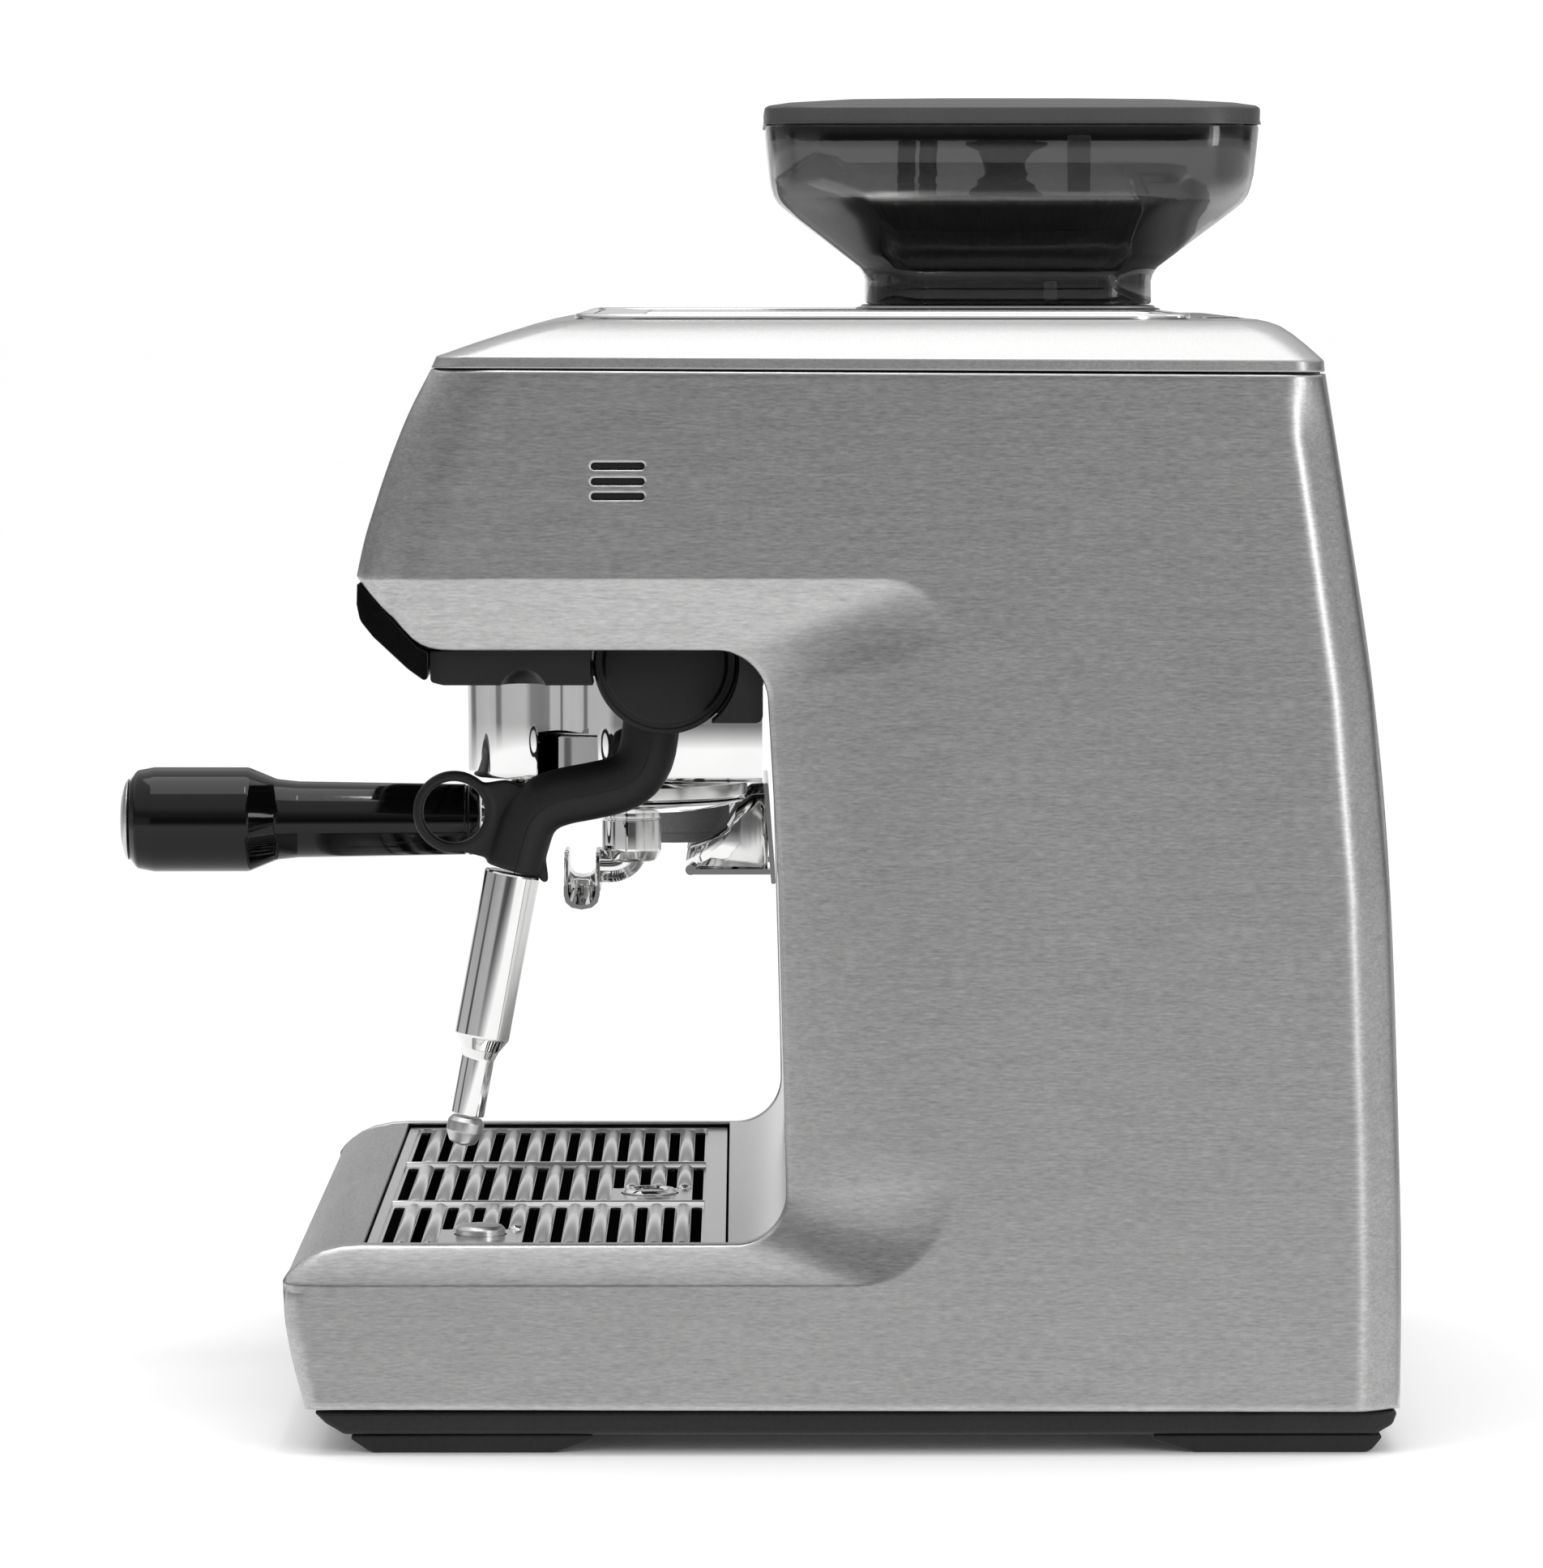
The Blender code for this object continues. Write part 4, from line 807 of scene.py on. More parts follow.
def top():
    rows = [(195.4, -136.2, 159.5, 361.3, 359.9, 11), (195.6, -136, 159.5, 361.7, 360.3, 11),
            (195.6, -135.8, 159.5, 362, 360.6, 11), (195.6, -134.7, 159.3, 364.5, 363.1, 11),
            (195.6, -134.6, 159.2, 364.8, 363.4, 11), (195.4, -134.2, 158.9, 365.2, 363.9, 11),
            (195, -133.4, 158.5, 365.5, 364.3, 11), (194.6, -132.4, 158.2, 365.8, 364.6, 11),
            (189.8, -121.5, 153.9, 369.6, 368.7, 12),
            (185.3, -111, 149.6, 373, 372.4, 13), (181.6, -103, 146, 375.1, 374.9, 14),
            (178.6, -97, 143, 376.3, 376.2, 14), (176, -92, 140.4, 376.9, 376.9, 14),
            (173.6, -88, 138, 377.15, 377.15, 14)]
    outer = [cover_ring(*row) for row in rows]
    inner = [cover_ring(192.5, -132.4, 156.4, 361.4, 359.9, 9),
             cover_ring(189.5, -126, 154, 366, 365, 10),
             cover_ring(172, -86, 136, 374.6, 374.6, 12)]
    cover = skin("shell_top_cover", inner[::-1] + outer)
    cut(cover, prism("cut_throat", "z", circle(*HOPPER, 46, 64), 350, 400),
        prism("cut_lid", "z", [(15.8, 120.8), (168.2, 120.8), (168.2, 200), (15.8, 200)], 340, 400))
    dress(cover, silver, "housing", "top_cover", bevel=0.25, limit=30)
    plate = rounded([(-168, -84, 18), (168, -84, 18), (168, 115, 4), (-27, 115, 4), (-27, 6, 9),
                     (-143, 6, 9), (-143, 115, 4), (-168, 115, 4)], 0, 8)
    sheet = prism("shell_warming_tray", "z", plate, 377.4, 378.5)
    dress(sheet, sheet_bright, "housing", "cup_warming_tray", bevel=0.4)
    for n in range(11):
        x0 = -12 + 16.5 * n
        rib = prism(f"tray_rib_{n}", "z", rect(x0 - 2.2, x0 + 2.2, -66, 104, 2.1, 5), 378.5, 379.4)
        dress(rib, sheet_bright, "housing", bevel=0.7, steps=3)
    rings = []
    for across, z in ((0, 377.35), (0, 378.4), (0.5, 378.9), (1.5, 379.1), (2.5, 378.9),
                      (3, 378.4), (3, 377.35)):
        rings.append([(x, y, z) for x, y in rect(-173.4 + across, 173.4 - across, -89.4 + across,
                                                 116.9 - across, 24 - across, 12)])
    rail = skin("shell_cup_rail", rings, closed=True)
    dress(rail, sheet_bright, "housing", "cup_rail", angle=60)


# ---------------------------------------------------------------- hopper
def eight(half, flat, bulge, z, steps=8):
    """A square section with wide corners: bulge 1 is a full round, 0.5 a straight chamfer."""
    key = flat + (half - flat) * bulge
    loop = []
    for turn in range(4):
        a = radians(90 * turn)
        corner = []
        for i in range(steps + 1):
            t = i / steps
            x = (1 - t) ** 2 * half + 2 * t * (1 - t) * key + t * t * flat
            y = (1 - t) ** 2 * flat + 2 * t * (1 - t) * key + t * t * half
            corner.append((x, y))
        loop += [(x * cos(a) - y * sin(a), x * sin(a) + y * cos(a))
                 for x, y in corner]
    return [(HOPPER[0] + x, HOPPER[1] + y, z) for x, y in loop]


def ribbed(half, flat, z, depth, per_face, per_corner):
    """The funnel's eight-sided section with fine ribs; the same count at every height."""
    corners = []
    for turn in range(4):
        a = radians(90 * turn)
        for x, y in ((half, -flat), (half, flat)):
            corners.append(Vector((x * cos(a) - y * sin(a),
                                   x * sin(a) + y * cos(a))))
    loop = []
    for i, here in enumerate(corners):
        there = corners[(i + 1) % 8]
        count = per_corner if i % 2 else per_face
        out = (here + there).normalized()
        for k in range(count):
            for share, lift in ((0, 0), (0.3, 0), (0.45, 1), (0.85, 1)):
                p = here.lerp(there, (k + share) / count) - out * (depth * lift)
                loop.append((HOPPER[0] + p.x, HOPPER[1] + p.y, z))
    return loop


def hopper():
    rows = [(50.6, 33, 0.9, 381), (51.2, 33, 0.9, 381.8), (51.1, 33, 0.9, 389.4),
            (51.7, 33, 0.85, 391.6), (53.4, 33, 0.75, 394.2), (60, 36, 0.66, 399.3),
            (67.6, 40, 0.62, 405.2), (75.6, 44, 0.62, 411.3), (80.4, 47, 0.64, 415.1),
            (83, 50, 0.70, 417.4), (84.7, 53, 0.78, 420.2), (85.6, 57, 0.9, 423.4),
            (86.2, 60, 1, 427), (87.2, 61, 1, 436), (87.9, 61.5, 1, 443.6),
            (87.6, 61.5, 1, 444.5)]
    outer = [eight(h, f, b, z) for h, f, b, z in rows]
    inner = [eight(h - 2.1, f - 0.8, b, min(z, 444.5)) for h, f, b, z in rows]
    shell = skin("shell_hopper", outer + inner[::-1], closed=True)
    dress(shell, smoke, "hopper", "hopper_body", angle=60)
    levels = ((81.6, 44.5, 419.6), (80.2, 44, 418.8), (66, 39, 408), (50.5, 33.5, 396.4),
              (46, 31, 393.6), (34, 24, 391.4), (31, 22, 386), (31, 22, 381.4))
    wide = ((81.8, 44.6, 419.6), (80.6, 44.2, 418), (68.2, 40, 408), (53.2, 34.2, 396.4),
            (49.6, 32, 393.6), (47.8, 31, 391.4), (47.8, 31, 386), (47.8, 31, 381.4))
    ribs = [ribbed(h, f, z, 0.9 if 394 < z < 419 else 0.05, 30, 16) for h, f, z in wide]
    lining = [ribbed(h - 2, f - 0.9, z + (0.4 if z > 392 else 0), 0, 30, 16)
              for h, f, z in levels]
    funnel = skin("hopper_funnel", ribs + lining[::-1], closed=True)
    dress(funnel, smoke_dark, "hopper", angle=25)
    knob = [(0, 384), (12, 384, 1), (12, 398, 3), (19, 413, 4),
                    (22.5, 418.4, 0.8), (21.5, 419.6, 0.8), (13, 422.5, 8), (7.6, 428, 6),
                    (7.2, 431.5, 5), (10, 436.5, 3), (15, 438.6, 0.8), (15, 439.8, 0.8),
                    (0, 440.4)]
    lock = turned("shell_lock_knob", "z", HOPPER, knob, 48, 5)
    dress(lock, black, "hopper_lock", "hopper_lock_knob", angle=50)
    grip = prism("lock_grip", "z", rounded([(-88, 52, 2), (-82, 52, 2), (-82, 74, 2),
                                            (-88, 74, 2)], 0, 4), 438, 441.2)
    dress(grip, black, "hopper_lock", bevel=0.8)
    for n, y in enumerate((26.4, 34.2)):
        post = prism(f"hopper_post_{n}", "z", rect(-66, -60, y - 3.2, y + 3.2, 1.8, 4), 419.8, 440)
        dress(post, black, "hopper", bevel=0.4)
    for n, (y, x, z0, z1) in enumerate(((86, -2.6, 421, 441), (77, -36.2, 382.4, 389.4))):
        half = 4.2 if n == 0 else 2.4
        clip = prism(f"hopper_clip_{n}", "x", rect(y - half, y + half, z0, z1, 0.8, 4),
                     x - 0.8, x)
        dress(clip, hammered, "hopper", bevel=0.25)
    lid_rows = [(81, 57, 1, 447.6), (81, 57, 1, 441.4), (82.6, 58, 1, 441.4),
                (82.6, 58, 1, 446), (86.6, 60, 1, 446), (86.8, 60, 1, 445),
                (88.6, 61.5, 1, 445), (88.7, 61.5, 1, 445.4), (88.3, 61.5, 1, 446.3),
                (88.4, 61.5, 1, 450.2), (88, 61.3, 1, 451), (86.8, 60.5, 1, 451.7),
                (80, 55, 1, 452.8), (60, 41, 1, 454.2), (30, 20, 1, 455),
                (1, 0.6, 1, 455.15)]
    lid = skin("shell_hopper_lid", [eight(h, f, b, z) for h, f, b, z in lid_rows])
    dress(lid, lid_grey, "hopper_cover", "hopper_lid", angle=50)
    collar_rows = [(45, 18.6, 1, 377.4), (54, 34, 1, 377.4), (54.7, 34, 1, 378),
                   (54.6, 34, 1, 378.9), (53.8, 33.5, 1, 379.6), (52.6, 33, 1, 379.7),
                   (52.4, 33, 1, 380.3), (51.6, 32.5, 1, 380.6), (45, 18.6, 1, 380.6)]
    collar = skin("shell_hopper_collar", [eight(h, f, b, z) for h, f, b, z in collar_rows],
                  closed=True)
    dress(collar, silver, "housing", "hopper_collar", angle=40)


# ---------------------------------------------------------------- head and fascia
SLOPE = Vector((0, 17.4, 50)).normalized()
OUT = Vector((0, -50, 17.4)).normalized()
SCREEN = Vector((0, -151.6, 325))
BUTTON = Vector((-112, -151.9, 325))


def on_fascia(name, mid, loop, out0, out1):
    """A plate whose outline (across, up) is drawn on the sloping fascia."""
    rings = []
    for out in (out0, out1):
        rings.append([tuple(mid + OUT * out + Vector((u, 0, 0)) + SLOPE * v) for u, v in loop])
    return skin(name, rings)


def turned_fascia(name, mid, profile, steps=64):
    rings = []
    for radius, out in profile:
        ring = []
        for i in range(steps):
            a = 2 * pi * i / steps
            ring.append(tuple(mid + OUT * out + Vector((cos(a) * radius, 0, 0))
                              + SLOPE * (sin(a) * radius)))
        rings.append(ring)
    return skin(name, rings)


def head():
    line = curve(FRONT, 5)
    inner = [(y + SHEET, z) for y, z in reversed(line)]
    fascia = prism("shell_front_panel", "x", line + inner, -INNER, INNER)
    cut(fascia, on_fascia("cut_screen", SCREEN, rect(-62.8, 62.8, -34.9, 34.9, 4.5), -14, 14),
        turned_fascia("cut_button", BUTTON, [(7.4, -12), (7.4, 12)]))
    dress(fascia, steel_flat, "housing", "front_panel", angle=30)
    glass = on_fascia("shell_screen_glass", SCREEN, rect(-62.2, 62.2, -34.3, 34.3, 4.2), -2.2, 1)
    dress(glass, glass_black, "housing", "screen_glass", bevel=0.5, steps=3)
    edge = on_fascia("screen_border", SCREEN, rect(-57, 57, -29.4, 29.4, 2.5), 1, 1.06)
    cut(edge, on_fascia("cut_border", SCREEN, rect(-56.4, 56.4, -28.8, 28.8, 2.2), 0.5, 2))
    dress(edge, lid_grey, "housing")
    ring = turned_fascia("button_ring", BUTTON, [(6.6, -3), (7.2, -3), (9.6, 0.2), (9.6, 0.9),
                                                 (9, 1.4), (7, 1.4), (6.6, 1)])
    cut(ring, turned_fascia("cut_bore", BUTTON, [(6.5, -5), (6.5, 5)]))
    dress(ring, steel_turned, "housing", angle=40)
    cap = turned_fascia("shell_power_button", BUTTON,
                        [(6.1, -6), (6.1, 1.3), (5.9, 1.9), (5.4, 2.2), (4.6, 2.2), (2, 1.8),
                         (0.3, 1.7)])
    dress(cap, chrome, "power_key", "power_button", angle=40)
    wedge = rounded([(-160.7, 290.5, 1), (-160.9, 283.2, 4), (-159.8, 277.8, 6),
                     (-155.5, 272.4, 8), (-143.9, 261.6, 20), (-137.4, 257, 1.2),
                     (-137.2, 267.2, 0.8), (-141, 269.1, 2), (-159.5, 289.2, 0.5)], 0, 6)
    bezel = prism("shell_front_bezel", "x", wedge, -189.3, 189.3)
    dress(bezel, gloss, "housing", "front_bezel", bevel=1.6, steps=4)
    pan = rounded([(-136.8, 267.2), (-136.8, 257.1, 1.5), (-132.5, 256, 6), (-26.2, 256),
                   (-26.3, 260)] + arc(-42.2, 250.3, 18.1, 40, 88, 6))
    tub = prism("shell_head_underside", "x", pan, -183, 183)
    low = [(-57.5, 257), (-57.5, 246), (-54.5, 243.4), (-44, 243.4), (-34, 243.4),
           (-26.4, 243.4), (-26.4, 257)]
    join(tub, prism("add_low", "x", rounded([(*p, 2.5 if p[1] < 250 else 0) for p in low]),
                    62, 183))
    dent = [(0, 171), (3.6, 172.2), (6, 175), (7.4, 179), (8.2, 185), (0, 185)]
    cut(tub, prism("cut_pan", "z", rect(-157.5, 157.5, -134.3, -44, 3), 258.6, 300),
        prism("cut_hub_slot", "z", rect(125, 157, -90, -34.5, 2), 200, 300),
        revolve("cut_hub_side", "x", HUB, [(0, 155.8), (24.8, 155.8), (24.8, 185), (0, 185)], 96,
                False),
        prism("cut_neck", "z", rect(-40, 70, -134, -24, 1), 250, 300),
        revolve("cut_dent", "x", (-106, 253.4), dent, 40, False))
    dress(tub, black, "housing", "head_underside", bevel=0.7, steps=3)


# ---------------------------------------------------------------- group
GX, GY = GROUP = (15, -74.5)


def shroud_loop(grow):
    nose = arc(0, -103.5, 26.4 + grow, -180, 0, 36)
    flare = [(26.4 + grow, -101), (27.2 + grow, -98), (29.2 + grow, -95.2),
             (32 + grow, -92.8), (35.2 + grow, -90), (37.8 + grow, -86.6),
             (39.6 + grow, -82.4), (40.6 + grow, -77.6), (41 + grow, -72),
             (41 + grow, -50), (41 + grow, -26.3)]
    back = [(-x, y) for x, y in flare[::-1]]
    return [(GX + x, y) for x, y in nose + flare + back]


def group():
    rows = ((-3, 215), (-1.8, 215.15), (-0.9, 215.7), (-0.3, 216.5), (0, 217.6),
            (0.1, 235), (0.4, 255.4))
    shroud = skin("shell_group_shroud", [[(x, y, z) for x, y in shroud_loop(g)] for g, z in rows])
    pocket = [(0, 200), (40.2, 200), (40.2, 232), (34.3, 233), (34.3, 244.2),
              (16.5, 244.2), (16.5, 270), (0, 270)]
    cut(shroud, revolve("cut_pocket", "z", GROUP, pocket, 96, False))
    dress(shroud, chrome, "housing", "group_shroud", angle=32)
    ring = rounded([(35.2, 208, 0.5), (42.2, 208, 1), (43, 209, 0.8), (43, 213.2, 0.8),
                    (42, 214.7, 0.8), (35.2, 214.7, 0.4)])
    collar = revolve("shell_group_collar", "z", GROUP, ring, 96)
    dress(collar, chrome, "housing", "group_collar", angle=40)
    plate = [(0, 228.6), (4, 228.6, 0.4), (4.6, 229.6, 0.4), (25.5, 229.6, 0.4),
                     (25.5, 231.6), (0, 231.6)]
    screen = turned("shell_shower_screen", "z", GROUP, plate, 64, 3)
    for ring_no, count in ((8, 12), (13, 20), (18, 28), (22.5, 34)):
        for k in range(count):
            a = 2 * pi * k / count
            x, y = GX + ring_no * cos(a), GY + ring_no * sin(a)
            cut_hole(screen, x, y)
    dress(screen, steel_turned, "housing", "shower_screen", angle=30)
    portafilter()


def cut_hole(screen, x, y):
    """A dimple in the shower screen, pressed in as a small cone."""
    bm = bmesh.new()
    bm.from_mesh(screen.data)
    rings = []
    for radius, z in ((0.75, 229.58), (0.45, 229)):
        rings.append([bm.verts.new(at((x + radius * cos(k * 1.0472),
                                       y + radius * sin(k * 1.0472), z)))
                      for k in range(6)])
    for i in range(6):
        j = (i + 1) % 6
        bm.faces.new((rings[0][j], rings[0][i], rings[1][i], rings[1][j]))
    bm.faces.new(rings[1])
    bm.faces.new(rings[0][::-1])
    bmesh.ops.recalc_face_normals(bm, faces=bm.faces)
    bm.to_mesh(screen.data)
    bm.free()


def portafilter():
    body = "portafilter"
    bowl = [(0, 203.8), (30.8, 203.8, 2), (36, 204.9, 6), (42, 206.6, 0.6),
                    (42.3, 207.5, 0.3), (34.6, 207.7, 0.5), (34.6, 230.8, 0.6), (30.6, 230.8, 0.6),
                    (30.6, 206.2, 2), (0, 206.2)]
    cup = turned("shell_portafilter", "z", GROUP, bowl, 96)
    for n, start in enumerate((-14, 166)):
        inner = [(GX + 33.8 * cos(radians(start + 4 * k)),
                  GY + 33.8 * sin(radians(start + 4 * k))) for k in range(8)]
        outer = [(GX + 38.8 * cos(radians(start + 4 * k)),
                  GY + 38.8 * sin(radians(start + 4 * k))) for k in range(8)]
        join(cup, prism(f"add_lug_{n}", "z", inner + outer[::-1], 218.5, 223))
    neck = [((-97, 203.3), 2.4), ((-103, 202.6), 3.6), ((-109, 201.6), 4.8),
            ((-114, 200.6), 6.2), ((-118.5, 199.8), 7.8), ((-122, 199.5), 8.6),
            ((-125.2, 199.5), 8.6)]
    rings = []
    for (y, z), radius in neck:
        rings.append([(GX + radius * cos(a), y, z + radius * sin(a))
                      for a in (2 * pi * i / 40 for i in range(40))])
    join(cup, skin("add_neck", rings))
    dress(cup, chrome, body, "portafilter_body", bevel=0.25, steps=2, limit=30)
    basket = [(0, 206.6), (25.6, 206.6, 1.5), (28.6, 208.6, 2), (30.2, 230.6, 0.4),
                      (33.2, 231, 0.4), (33.2, 231.9, 0.4), (29.4, 231.9, 0.6),
                      (27.8, 209.4, 1.5), (25.4, 207.6, 1), (0, 207.6)]
    dress(turned("shell_filter_basket", "z", GROUP, basket, 80), steel_turned, body,
          "filter_basket", angle=40)
    grip = [(0, -249.3), (14.4, -249.3, 0.8), (17.4, -247, 2.5), (18.5, -241, 6),
            (18.45, -207.6, 5), (14.3, -197.6, 7), (13.5, -190, 6), (12.5, -131.2, 0.6),
            (12.1, -130.7, 0.1), (12.1, -130.1, 0.1), (12.6, -129.6, 0.4), (12.4, -125.9, 0.8),
            (0, -125.6)]
    handle = turned("shell_handle", "y", HANDLE_AXIS, grip, 96, 7)
    dress(handle, gloss, body, "portafilter_handle", angle=50)
    end = [(0, -253), (8, -252.5, 6), (12.4, -251.4, 4), (14.9, -249.9, 0.2),
           (0, -249.7)]
    dress(turned("shell_handle_cap", "y", HANDLE_AXIS, end, 80, 5), steel_turned, body,
          "handle_cap", angle=50)
    spout()


def gutter(x, floor, top, y):
    outer = [(-6.3, top - 0.3), (-6.3, floor + 3.6), (-5.6, floor + 1), (-3.6, floor - 0.8),
             (0, floor - 1.5), (3.6, floor - 0.8), (5.6, floor + 1), (6.3, floor + 3.6),
             (6.3, top - 0.3), (6, top)]
    inner = [(5.1, top), (4.8, top - 0.3), (4.8, floor + 4.2), (4.2, floor + 2),
             (2.6, floor + 0.5), (0, floor), (-2.6, floor + 0.5), (-4.2, floor + 2),
             (-4.8, floor + 4.2), (-4.8, top - 0.3), (-5.1, top), (-6, top)]
    return [(GX + x, y + v, z) for v, z in outer + inner]


def spout():
    spread = []
    for k in range(-12, 13):
        share = abs(k) / 12
        drop = max(share - 0.35, 0) / 0.65
        spread.append((25 * k / 12, 179.6 - 8.6 * drop ** 1.7, 189.2 - 11.2 * drop ** 1.9))
    trough = skin("shell_spout", [gutter(x, low, high, -89.6) for x, low, high in spread])
    bend = [(GX, -72.4, 203), (GX, -72.4, 196), (GX, -72.4, 190.5)]
    bend += [(GX, y, z) for y, z in arc(-79.6, 190.5, 7.2, 0, -90, 12)[1:]]
    bend += [(GX, -84.8, 183.3)]
    stem = [(0, 203.5), (9.4, 203.5, 0.6), (10.5, 202.4, 0.6), (10.5, 200.4, 0.3),
                    (9.9, 199.9, 0.2), (10.5, 199.4, 0.3), (10.5, 189, 3), (8.8, 185, 2),
            (0, 183.8)]
    join(trough, skin("add_elbow", tube_rings(bend, 6.2, 32)),
         turned("add_stem", "z", (GX, -72.4), stem, 56))
    dress(trough, chrome, "portafilter", "portafilter_spout", angle=38)


# ---------------------------------------------------------------- steam arm
ARM_X = 140
HUB = (-59, 262.7)
WAND = (ARM_X, -110.8)
WAND_TOP = 191
RING = (-130.6, 211)
ARM_PATH = ((-61, 256), (-63.4, 245), (-64.5, 236), (-66, 229), (-69.6, 223.4),
            (-75, 220.2), (-84.2, 218), (-93.5, 216.2), (-100.3, 213.6), (-104.8, 209.2),
            (-107.2, 203.4), (-110.6, 191.2))
LEAN = radians(-10.6)


def lean(obj):
    """Tilts a piece turned about an upright line through the arm's end."""
    centre = Vector(at((*WAND, WAND_TOP)))
    turn = Matrix.Translation(centre) @ Matrix.Rotation(LEAN, 4, "X")
    obj.data.transform(turn @ Matrix.Translation(-centre))
    return obj


def steam():
    lip = [(0, 157.7), (9, 157.7, 0.5), (9, 160.6, 0.3), (22.8, 160.6, 0.6),
                   (24, 161.8, 0.5), (24, 165.8, 0.8), (23.3, 166.6, 0.3), (22.4, 166.6, 0.2),
                   (22, 166.2, 0.2), (21, 166.2, 0.4), (20, 167.1, 1), (0, 167.6)]
    dress(turned("shell_hub_disc", "x", HUB, lip, 96), black_soft, "steam_wand",
          "steam_hub_disc", angle=40)
    line = [(ARM_X, y, z) for y, z in curve(ARM_PATH, 3)]
    arm = skin("shell_steam_arm", tube_rings(line, 9.7, 40, 0.95))
    ring = rounded([(13.8, 136.2), (13.8, 143.8), (10.4, 143.8), (10.4, 136.2)], 1.1, 4)
    web = rounded([(y, z, 2.5) for y, z in arc(*RING, 12.2, 50, -100, 8)]
                  + [(-119.5, 195.4, 6), (-108, 198), (-103, 212), (-106, 219.6, 4),
                     (-113, 221.8, 6)], 0, 4)
    tab = rounded([(-104, 195), (-99.6, 195, 1), (-98.6, 187.2, 1), (-100.6, 186.9, 0.8),
                   (-104, 191.5)])
    join(arm, revolve("add_root", "x", HUB, [(0, 128.5), (18.5, 128.5), (18.5, 155.4),
                                             (0, 155.4)], 64, False),
         revolve("add_ring", "x", RING, ring, 64),
         prism("add_web", "x", web, 137, 143),
         prism("add_tab", "x", tab, 137.6, 142.4))
    mod = arm.modifiers.new("fuse", "REMESH")
    mod.mode = "VOXEL"
    mod.voxel_size = 0.75 * MM
    mod = arm.modifiers.new("soften", "SMOOTH")
    mod.iterations = 7
    mod.factor = 0.55
    boolean(arm, "UNION")
    dress(arm, black_soft, "steam_wand", "steam_arm", angle=70)
    seam = [(ARM_X + 9.12, y + 0.6, z - 0.6) for y, z in curve(ARM_PATH[2:], 2)]
    flash = skin("arm_seam", tube_rings(seam, 0.2, 8))
    dress(flash, gloss, "steam_wand")
    wand = [(0, 0.6), (9, 0.6, 0.5), (9.3, 1.4, 0.5), (9.3, 57, 2), (6.6, 61.5, 2),
                    (5.6, 64.5, 3), (5.6, 84.2, 0.4), (0, 84.6)]
    tip = [(0, 85), (5, 85, 0.3), (6.2, 86.6, 0.5), (6.2, 90, 1.2),
           (4.4, 94, 2), (0, 95)]
    tube, nose = (turned(name, "z", WAND, [(r, WAND_TOP - a, *size) for r, a, *size in line], 64, 5)
                  for name, line in (("shell_steam_tube", wand), ("shell_steam_tip", tip)))
    dress(lean(tube), chrome, "steam_wand", "steam_tube", angle=40)
    for k in range(4):
        a = radians(45 + 90 * k)
        x, y = ARM_X + 3.4 * cos(a), WAND[1] + 3.4 * sin(a)
        cut(nose, prism(f"cut_jet_{k}", "z", circle(x, y, 0.8, 16), 94, 100.5))
    dress(lean(nose), steel_turned, "steam_wand", "steam_tip", angle=40)


# ---------------------------------------------------------------- outlet and cradle
def cradle():
    outlet = rounded([(17.2, 185.2, 0.5), (19.4, 185.2, 0.6), (20, 186.2, 0.5),
                      (20, 188.6, 0.2), (19.7, 188.9, 0.2), (20, 189.2, 0.2),
                      (20, 253.6, 1), (24, 254.4, 0.3), (24, 255.4), (17.2, 255.4)])
    dress(revolve("shell_grind_outlet", "z", (-85, -58), outlet, 80), outlet_grey, "housing",
          "grind_outlet", angle=40)
    x0, x1 = -121, -49
    face = [(-25.6, 208), (-22.8, 171.5), (-21.1, 171.4), (-23.9, 208.1)]
    fork = prism("shell_cradle", "x", rounded(face, 0.6, 3), x0, x1)
    prong = rounded([(-24, 204), (-30, 203.6, 2), (-35, 200.2, 5), (-39.6, 192.6, 8),
                     (-46, 188.2, 8), (-53, 184.6, 3), (-53.8, 179, 3),
                     (-51, 175, 2.5), (-24, 174.6)], 0, 6)
    for n, low in enumerate((x1 - 10, x0 + 2)):
        rings = []
        for k in range(17):
            t = 0.99 * cos(pi * k / 16)
            fat = (1 - abs(t) ** 2.4) ** (1 / 2.4)
            rings.append([(low + 4 - 4.4 * t, -37 + (y + 37) * fat, 190 + (z - 190) * fat)
                          for y, z in prong])
        dress(skin(f"cradle_prong_{n}", rings), chrome, "housing", angle=50)
    for n, (a, b) in enumerate(((x1 - 11, x1 - 2), (x0 + 2, x0 + 11))):
        ledge = rounded([(-51.5, 174.7, 0.8), (-23, 174.7), (-23, 176.7), (-51.5, 176.7, 0.8)])
        join(fork, prism(f"add_ledge_{n}", "x", ledge, a, b))
        join(fork, prism(f"add_lip_{n}", "x", circle(-52, 176.4, 1.9, 20), a, b))
    dress(fork, chrome, "housing", "cradle_bracket", bevel=0.5, steps=3, limit=32)
    column = [(-24, 254.8), (-22.5, 224), (-21, 194), (-19.6, 143), (-18.3, 92)]
    column += arc(-35.3, 87.1, 17, 0, -90, 18) + [(-38, 70.1)]
    sheet = prism("shell_splash", "x", column + beside(column, SHEET)[::-1], -INNER, INNER)
    dress(sheet, splash, "housing", "splash_panel", angle=25)


# ---------------------------------------------------------------- tray
FLOAT = (22, -66)
SENSOR = (140, -122)


